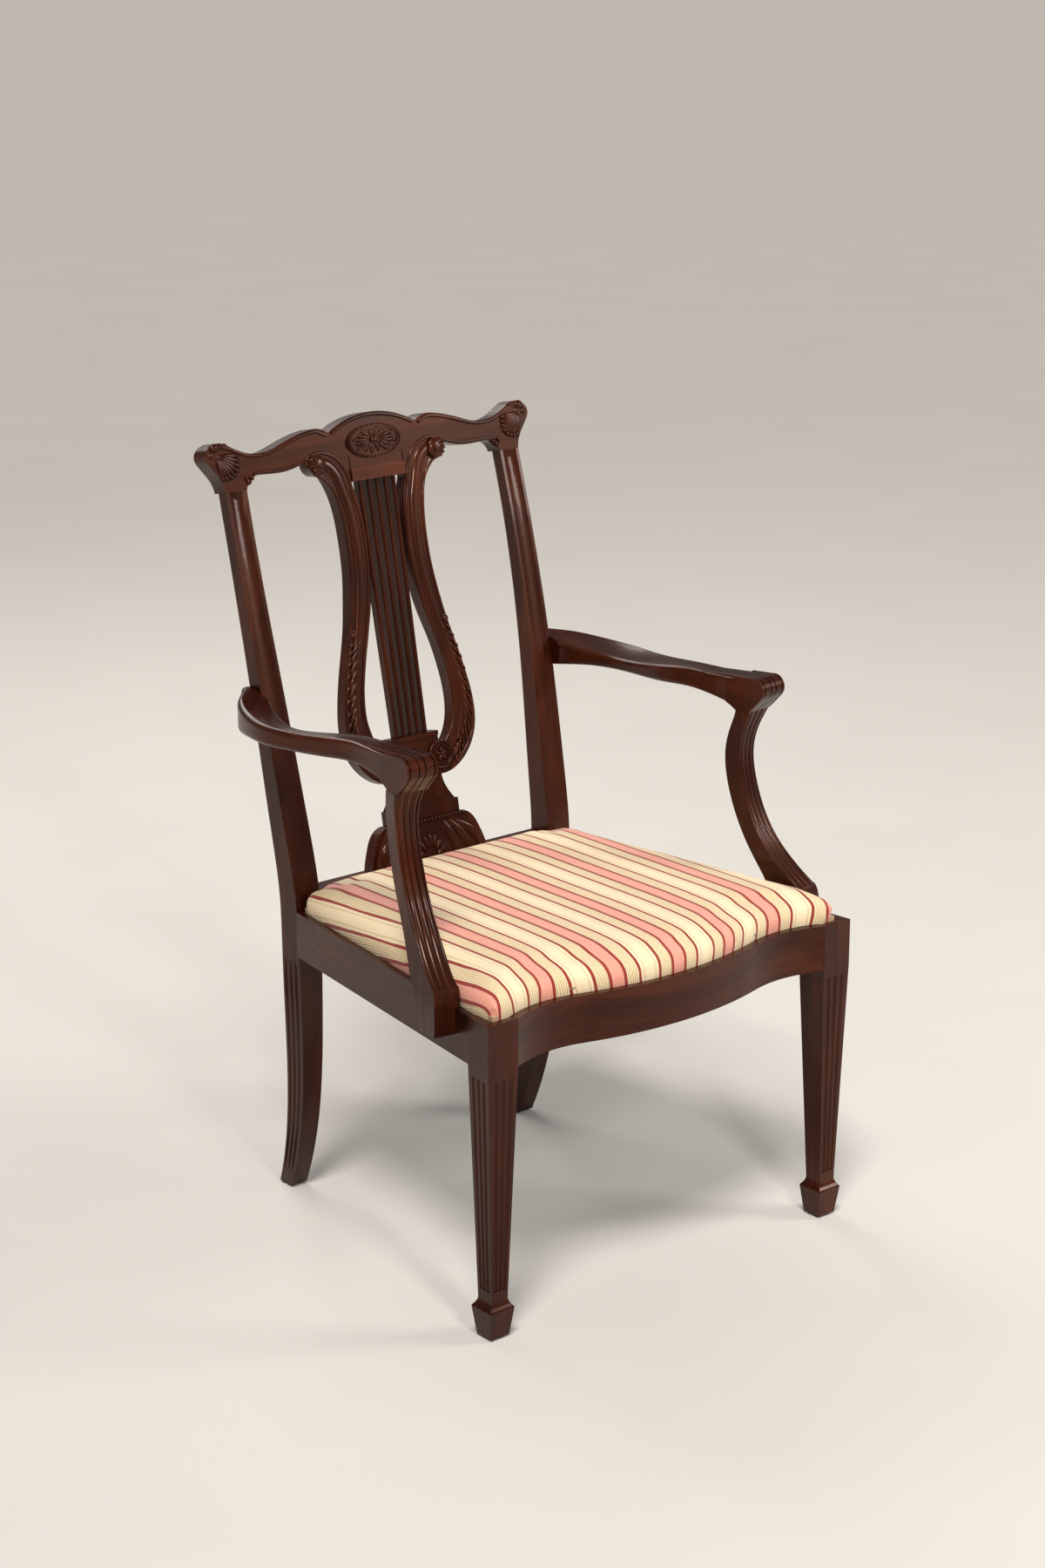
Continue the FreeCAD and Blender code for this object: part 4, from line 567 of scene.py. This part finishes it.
# Upper scrolls of the lyre, with ribs rolling over them
scroll = dict(
    eye=(96, 946), radius=13.2, height=5.2, out=3.4,
    ribs=4, ribFirst=-38, ribStep=32, ribPlace=0.62, ribLength=0.46, rib=(2.3, 3.8), ribOut=5.9)
scrollBalls = [
    ((94, 945, 7.6), (3.8, 3.8, 3.0), 0, 8, 12),
    ((105.5, 950.5, 4.5), (3.4, 3.4, 3.8), 0, 8, 12),
    ((100.5, 936, 4.0), (4.6, 3.0, 3.6), 0, 8, 12)]
for side, s in (("left", -1), ("right", 1)):
    eyeX, eyeY = scroll["eye"][0], up(scroll["eye"][1])
    radius = scroll["radius"]
    parts = [drop((s * eyeX, eyeY, scroll["out"]), (radius, radius, scroll["height"]), 0, 12, 24)]
    for number in range(scroll["ribs"]):
        angle = math.radians(scroll["ribFirst"] + scroll["ribStep"] * number)
        x = eyeX + math.cos(angle) * radius * scroll["ribPlace"]
        y = eyeY + math.sin(angle) * radius * scroll["ribPlace"]
        parts.append(drop(
            (s * x, y, scroll["ribOut"]), (radius * scroll["ribLength"], *scroll["rib"]),
            sided(angle, s)))
    joined(f"{side}_lyre_scroll", parts + drops(scrollBalls, s), mahoganyUp)
print("scrolls carved")

# Lower halves of the lyre arms: a curl, then leaves lying slantwise down to the roundel, each
# with a small one beside it
leaf = dict(
    count=15, length=(10.5, 14.0), width=(1.9, 2.7), height=3.4, out=1.2, slant=26,
    beside=7, besideLength=0.45, besideWidth=0.85, besideHeight=2.4, besideOut=0.6)
leafLine = [
    (71, 718), (77, 702), (84, 678), (89.5, 652), (92.5, 626), (92, 606), (87, 587),
    (77.5, 570), (66, 558), (57, 551)]
curlBalls = [
    ((75.5, 727, 0.8), (5.2, 5.4, 4.4), 0, 8, 12),
    ((73, 731.5, 1.2), (2.8, 2.6, 2.6), 0, 8, 12)]


# Place and heading at a share of the way along a line of points
def along(points, share):
    place = share * (len(points) - 1)
    number = min(int(place), len(points) - 2)
    part = place - number
    (startX, startZ), (endX, endZ) = points[number], points[number + 1]
    heading = math.atan2(endZ - startZ, endX - startX)
    return startX + (endX - startX) * part, startZ + (endZ - startZ) * part, heading


def between(pair, share):
    return pair[0] + (pair[1] - pair[0]) * share


for side, s in (("left", -1), ("right", 1)):
    parts = drops(curlBalls, s)
    for number in range(leaf["count"]):
        share = (number + 0.5) / leaf["count"]
        x, z, heading = along(leafLine, share)
        fullness = math.sin(math.pi * (0.25 + share * 0.75))
        length, width = between(leaf["length"], fullness), between(leaf["width"], fullness)
        turn = sided(heading + math.radians(leaf["slant"]), s)
        parts.append(drop((s * x, up(z), leaf["out"]), (length, width, leaf["height"]), turn))
        inward = heading + math.pi / 2
        x, z = x + leaf["beside"] * math.cos(inward), z + leaf["beside"] * math.sin(inward)
        radii = (length * leaf["besideLength"], width * leaf["besideWidth"], leaf["besideHeight"])
        parts.append(drop((s * x, up(z), leaf["besideOut"]), radii, turn, 6, 10))
    joined(f"{side}_lyre_leaves", parts, mahoganyUp)
print("leaves carved")

# Roundels: a rim, a ring of beads and a small rose
rose = dict(
    centre=(37, 556), rim=17.4, rimRadius=1.6, rimOut=4.0,
    beads=18, ring=13.0, beadRadius=1.6, beadOut=4.9,
    petals=5, petalPlace=4.8, petal=(4.9, 2.8, 3.4), petalOut=4.6,
    boss=(2.3, 2.3, 2.4), bossOut=6.6)
for side, s in (("left", -1), ("right", 1)):
    x, y = s * rose["centre"][0], up(rose["centre"][1])
    bpy.ops.mesh.primitive_torus_add(
        location=(x, y, rose["rimOut"]), major_radius=rose["rim"],
        minor_radius=rose["rimRadius"], major_segments=48, minor_segments=10)
    parts = [bpy.context.object]
    ring = onOval((x, y), rose["ring"], rose["ring"], rose["beads"])
    parts += beadRow(ring, rose["beadRadius"], rose["beadOut"])
    for number in range(rose["petals"]):
        angle = math.pi / 2 + 2 * math.pi * number / rose["petals"]
        petalX = x + rose["petalPlace"] * math.cos(angle)
        petalY = y + rose["petalPlace"] * math.sin(angle)
        parts.append(drop((petalX, petalY, rose["petalOut"]), rose["petal"], angle))
    parts.append(drop((x, y, rose["bossOut"]), rose["boss"]))
    joined(f"{side}_roundel_rose", parts, mahoganyUp)
print("roundels carved")

# Pedestal: bead row under the plinth, leaves over the shoulders and a lunette in the middle
bell = dict(
    beads=21, beadRadius=2.8, beadHalf=58.0, beadHeight=476.4, beadOut=6.9,
    leaf=8.0, flat=0.5, taper=[0.4, 1.0, 0.9, 0.4])
bellLeaves = [
    [(26, 470, 7), (35.3, 453.5, 10.5), (42, 433, 8.5), (41, 425, 7)],
    [(35, 469, 7), (52.05, 453.625, 10.5), (60.5, 434.25, 8.5), (59.5, 426.25, 7)],
    [(44, 468, 7), (68.8, 455, 10.5), (79, 438, 8.5), (78, 430, 7)]]
lunette = dict(reeds=9, height=424, wide=17, tall=26, reed=(9.5, 3.4, 2.8), out=5.0)
beadHalf = bell["beadHalf"]
row = [
    (-beadHalf + 2 * beadHalf * number / (bell["beads"] - 1), up(bell["beadHeight"]))
    for number in range(bell["beads"])]
joined("pedestal_beads", beadRow(row, bell["beadRadius"], bell["beadOut"]), mahoganyAcross)
parts = []
for s in (-1, 1):
    for points in bellLeaves:
        line = [(s * x, up(z), out) for x, z, out in points]
        parts.append(flatTube(line, bell["leaf"], bell["flat"], bell["taper"]))
for number in range(lunette["reeds"]):
    angle = math.pi * number / (lunette["reeds"] - 1)
    x, y = lunette["wide"] * math.cos(angle), lunette["tall"] * math.sin(angle)
    place = (x, up(lunette["height"]) + y, lunette["out"])
    parts.append(drop(place, lunette["reed"], math.atan2(y, x)))
joined("pedestal_leaves", parts, mahoganyAcross)
print("pedestal carved")

# Seat: the pad's shape drawn down over the seat frame, then blown up a little as cloth
seat = dict(
    foot=0.0186, voxel=0.005, soften=3, cloth=0.0017, held=0.399, pressure=4.0, frames=20,
    cap=0.0045, rim=0.409, rimBlend=0.01, settle=8, brim=0.4285)
weld = 0.00002


# Blows the piece up as cloth and keeps the part of the swelling that goes up, faded in above
# the rim
def blowUp(piece):
    start = [vertex.co.copy() for vertex in piece.data.vertices]
    held = piece.vertex_groups.new(name="held")
    low = [vertex.index for vertex in piece.data.vertices if vertex.co.z < seat["held"]]
    held.add(low, 1.0, "REPLACE")
    cloth = piece.modifiers.new("cloth", "CLOTH")
    cloth.settings.use_pressure = True
    cloth.settings.uniform_pressure_force = seat["pressure"]
    cloth.settings.effector_weights.gravity = 0
    cloth.settings.vertex_group_mass = "held"
    cloth.point_cache.frame_start = 1
    cloth.point_cache.frame_end = seat["frames"]
    for number in range(1, seat["frames"] + 1):
        bpy.context.scene.frame_set(number)
    bpy.ops.object.modifier_apply(modifier=cloth.name)
    bpy.context.scene.frame_set(1)
    for vertex, first in zip(piece.data.vertices, start):
        rise = max(0.0, min(vertex.co.z - first.z, seat["cap"]))
        vertex.co = first
        if first.z > seat["rim"]:
            vertex.co.z += rise * min(1, (first.z - seat["rim"]) / seat["rimBlend"])
    pick(piece)
    shaped(piece, "SMOOTH", iterations=seat["settle"])
    print("seat blown up")


def stripedSeat():
    piece = twin("seat_pad", "striped_seat")
    pick(piece)
    bpy.ops.object.mode_set(mode="EDIT")
    bpy.ops.mesh.select_all(action="SELECT")
    bpy.ops.mesh.remove_doubles(threshold=weld)
    bpy.ops.mesh.select_all(action="DESELECT")
    bpy.ops.object.mode_set(mode="OBJECT")
    low = min(vertex.co.z for vertex in piece.data.vertices)
    for face in piece.data.polygons:
        face.select = face.normal.z < -0.99 and face.center.z < low + 0.0003
    bpy.ops.object.mode_set(mode="EDIT")
    bpy.ops.mesh.select_mode(type="FACE")
    bpy.ops.mesh.extrude_region_move(TRANSFORM_OT_translate={"value": (0, 0, -seat["foot"])})
    bpy.ops.mesh.select_all(action="SELECT")
    bpy.ops.mesh.normals_make_consistent(inside=False)
    bpy.ops.object.mode_set(mode="OBJECT")
    shaped(piece, "REMESH", mode="VOXEL", voxel_size=seat["voxel"])
    shaped(piece, "SMOOTH", factor=0.5, iterations=seat["soften"])
    shaped(piece, "DISPLACE", strength=seat["cloth"], mid_level=0)
    blowUp(piece)
    shaped(piece, "SUBSURF", levels=1, render_levels=1)
    bpy.ops.object.shade_smooth()
    return piece


# The cloth's own map, in metres: seen from above on the top, carried on down below the brim
def clothMap(piece):
    mesh = piece.data
    layer = mesh.uv_layers.new(name="cloth")
    for loop in mesh.loops:
        vertex = mesh.vertices[loop.vertex_index]
        x, y, z = vertex.co
        fall = max(0.0, seat["brim"] - z)
        towardX, towardY = abs(vertex.normal.x), abs(vertex.normal.y)
        total = towardX + towardY + 0.05
        layer.data[loop.index].uv = (
            x + math.copysign(fall * (towardX / total), x),
            y + math.copysign(fall * (towardY / total), y))


# Stripes, mirrored about the middle of a pink band: the pink ends at pinkHalf in a red line, then
# come fine gold threads on cream up to pinEnd, another red line, and a pale zone
stripes = dict(
    repeat=0.0928, pinkHalf=0.0083, line=0.0041, pinEnd=0.0288, wobble=0.0025,
    pink=(0.80, 0.30, 0.215), pinkThread=(0.93, 0.6, 0.48), red=(0.31, 0.024, 0.014),
    cream=(0.88, 0.69, 0.44), gold=(0.40, 0.265, 0.095), pale=(0.91, 0.725, 0.475),
    goldPitch=0.0029, goldShare=0.3, goldStrength=0.85,
    pinkPitch=0.0021, pinkShare=0.4, pinkStrength=0.4,
    paleGold=0.405, paleGoldHalf=0.012, paleGoldStrength=0.35,
    ribScale=320, warpScale=420, slubScale=260)


def stripedCloth():
    look = stripes
    material, tree, shader = newMaterial("striped_seat_cloth")
    place = addNode(tree, "ShaderNodeUVMap", uv_map="cloth").outputs["UV"]
    parts = addNode(tree, "ShaderNodeSeparateXYZ")
    tree.links.new(place, parts.inputs["Vector"])
    wobble = mathNode(tree, "SUBTRACT", noise(tree, place, 9, 2), 0.5)
    across = mathNode(tree, "ADD", parts.outputs["X"], product(tree, wobble, look["wobble"]))
    away = awayFrom(tree, repeated(tree, across, look["repeat"], 100.5), 0.5)
    pinkStop, creamStart, creamStop, paleStart = (
        edge / look["repeat"] for edge in (
            look["pinkHalf"], look["pinkHalf"] + look["line"],
            look["pinEnd"], look["pinEnd"] + look["line"]))
    color = ramp(tree, away, [
        (0.0, look["pink"]), (pinkStop, look["red"]), (creamStart, look["cream"]),
        (creamStop, look["red"]), (paleStart, look["pale"])], steps=True)

    inCream = product(
        tree, mathNode(tree, "GREATER_THAN", away, creamStart),
        mathNode(tree, "LESS_THAN", away, creamStop))
    threads = repeated(tree, across, look["goldPitch"])
    threads = mathNode(tree, "LESS_THAN", threads, look["goldShare"])
    shown = product(tree, threads, inCream, look["goldStrength"])
    color = mixColor(tree, "MIX", shown, color, look["gold"])

    inPink = mathNode(tree, "LESS_THAN", away, pinkStop)
    threads = repeated(tree, across, look["pinkPitch"])
    threads = mathNode(tree, "LESS_THAN", threads, look["pinkShare"])
    shown = product(tree, threads, inPink, look["pinkStrength"])
    color = mixColor(tree, "MIX", shown, color, look["pinkThread"])

    inPale = mathNode(tree, "GREATER_THAN", away, paleStart)
    threads = awayFrom(tree, away, look["paleGold"])
    threads = mathNode(tree, "LESS_THAN", threads, look["paleGoldHalf"])
    shown = product(tree, threads, inPale, look["paleGoldStrength"])
    color = mixColor(tree, "MIX", shown, color, look["gold"])

    weave = product(
        tree, wave(tree, place, "Y", look["ribScale"], 0.6),
        wave(tree, place, "X", look["warpScale"], 0.4))
    shading = ramp(tree, weave, [(0.0, (0.78, 0.76, 0.72)), (0.55, (1.06, 1.06, 1.05))])
    color = mixColor(tree, "MULTIPLY", 0.5, color, shading)
    slub = noise(tree, place, look["slubScale"], 3)
    shading = ramp(tree, slub, [(0.3, (0.85, 0.84, 0.8)), (0.7, (1.08, 1.08, 1.08))])
    color = mixColor(tree, "MULTIPLY", 0.35, color, shading)
    tree.links.new(color, shader.inputs["Base Color"])
    shader.inputs["Roughness"].default_value = 0.82
    shader.inputs["Sheen Weight"].default_value = 0.25
    shader.inputs["Sheen Roughness"].default_value = 0.4
    bump(tree, shader, mathNode(tree, "ADD", weave, product(tree, slub, 0.6)), 0.0005, 0.5)
    return material


seatPiece = stripedSeat()
clothMap(seatPiece)
seatPiece.data.materials.clear()
seatPiece.data.materials.append(stripedCloth())
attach(seatPiece, "root")
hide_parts("seat_cover", "seat_pad")
print("seat made")

# Dust cloth under the seat: a flat cut tacked round its edge, sagging a little between
dustCloth = dict(step=0.03, sag=0.0035, thickness=0.0006)


def dustSheet():
    look = dustCloth
    piece = twin("dust_cover", "dust_cloth_sheet")
    pick(piece)
    bpy.ops.object.mode_set(mode="EDIT")
    bpy.ops.mesh.select_mode(type="FACE")
    bpy.ops.mesh.select_all(action="SELECT")
    bpy.ops.mesh.remove_doubles(threshold=weld)
    bpy.ops.mesh.select_all(action="DESELECT")
    bpy.ops.object.mode_set(mode="OBJECT")
    for face in piece.data.polygons:
        face.select = face.normal.z > -0.9
    bpy.ops.object.mode_set(mode="EDIT")
    bpy.ops.mesh.delete(type="FACE")
    low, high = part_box("dust_cover")
    for axis, normal in enumerate(((1, 0, 0), (0, 1, 0))):
        count = int((high[axis] - low[axis]) / look["step"])
        for number in range(1, count + 1):
            cut = [0, 0, 0]
            cut[axis] = low[axis] + (high[axis] - low[axis]) * number / (count + 1)
            bpy.ops.mesh.select_all(action="SELECT")
            bpy.ops.mesh.bisect(plane_co=cut, plane_no=normal)
    bpy.ops.object.mode_set(mode="OBJECT")
    for vertex in piece.data.vertices:
        x = 2 * (vertex.co.x - low[0]) / (high[0] - low[0]) - 1
        y = 2 * (vertex.co.y - low[1]) / (high[1] - low[1]) - 1
        vertex.co.z -= look["sag"] * max(0, 1 - x ** 4) * max(0, 1 - y ** 4)
    pick(piece)
    shaped(piece, "SOLIDIFY", thickness=look["thickness"])
    bpy.ops.object.shade_smooth_by_angle(angle=math.radians(40))
    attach(piece, "root")
    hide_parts("dust_cover")


dustSheet()

# Floor, lights and camera
studio = dict(
    floorSize=80, floorTone=(0.60, 0.565, 0.52), floorDarker=0.97, floorRough=0.75,
    sky=0.2, skyTone=(1.0, 0.98, 0.95), backdrop=(0.72, 0.69, 0.65))
sunLight = dict(place=(-1.3, -1.1, 2.9), power=2.6, softness=16, tone=(1.0, 0.97, 0.93))
lamps = dict(
    fill=dict(place=(2.4, -2.2, 2.1), aim=(0, 0, 0.5), size=(1.1, 1.1), power=54),
    spark=dict(place=(-0.9, -2.9, 2.3), aim=(0, 0, 0.6), size=(0.45, 0.45), power=44),
    back=dict(place=(0.4, 2.6, 2.6), aim=(0, 0, 0.6), size=(2.0, 1.2), power=40))
view = dict(place=(-2.4321, -2.9420, 1.7253), tilt=73.143, turn=-39.716, sensor=36, lens=72.495)


def aimed(lamp, direction):
    lamp.rotation_euler = direction.to_track_quat("-Z", "Y").to_euler()


bpy.ops.object.select_all(action="DESELECT")
bpy.ops.mesh.primitive_plane_add(size=studio["floorSize"], location=(0, 0, 0))
floor = bpy.context.object
floor.name = "studio_floor"
floorMaterial, floorTree, floorShader = newMaterial("pale_floor")
darker = tuple(studio["floorDarker"] * share for share in studio["floorTone"])
floorTone = ramp(
    floorTree, noise(floorTree, objectSpace(floorTree), 3, 3),
    [(0.3, darker), (0.7, studio["floorTone"])])
floorTree.links.new(floorTone, floorShader.inputs["Base Color"])
floorShader.inputs["Roughness"].default_value = studio["floorRough"]
floor.data.materials.append(floorMaterial)

bpy.ops.object.light_add(type="SUN", location=sunLight["place"])
sun = bpy.context.object
sun.name = "key"
sun.data.energy = sunLight["power"]
sun.data.angle = math.radians(sunLight["softness"])
sun.data.color = sunLight["tone"]
aimed(sun, -Vector(sunLight["place"]))
for name, look in lamps.items():
    bpy.ops.object.light_add(type="AREA", location=look["place"])
    lamp = bpy.context.object
    lamp.name = name
    lamp.data.shape = "RECTANGLE"
    lamp.data.size, lamp.data.size_y = look["size"]
    lamp.data.energy = look["power"]
    aimed(lamp, Vector(look["aim"]) - Vector(look["place"]))

# The camera sees a plain backdrop, and the chair is lit by a weaker sky
world = bpy.data.worlds.new("studio_world")
bpy.context.scene.world = world
world.use_nodes = True
worldTree = world.node_tree
sky = worldTree.nodes["Background"]
sky.inputs["Color"].default_value = (*studio["skyTone"], 1)
sky.inputs["Strength"].default_value = studio["sky"]
backdrop = addNode(worldTree, "ShaderNodeBackground")
backdrop.inputs["Color"].default_value = (*studio["backdrop"], 1)
backdrop.inputs["Strength"].default_value = 1.0
seen = addNode(worldTree, "ShaderNodeLightPath")
either = addNode(worldTree, "ShaderNodeMixShader")
worldTree.links.new(seen.outputs["Is Camera Ray"], either.inputs["Fac"])
worldTree.links.new(sky.outputs["Background"], either.inputs[1])
worldTree.links.new(backdrop.outputs["Background"], either.inputs[2])
worldTree.links.new(either.outputs["Shader"], worldTree.nodes["World Output"].inputs["Surface"])

bpy.ops.object.camera_add(
    location=view["place"],
    rotation=(math.radians(view["tilt"]), 0, math.radians(view["turn"])))
camera = bpy.context.object
camera.data.sensor_fit = "VERTICAL"
camera.data.sensor_height = view["sensor"]
camera.data.lens = view["lens"]
camera.data.dof.use_dof = False
bpy.context.scene.camera = camera
bpy.context.scene.view_settings.view_transform = "Standard"
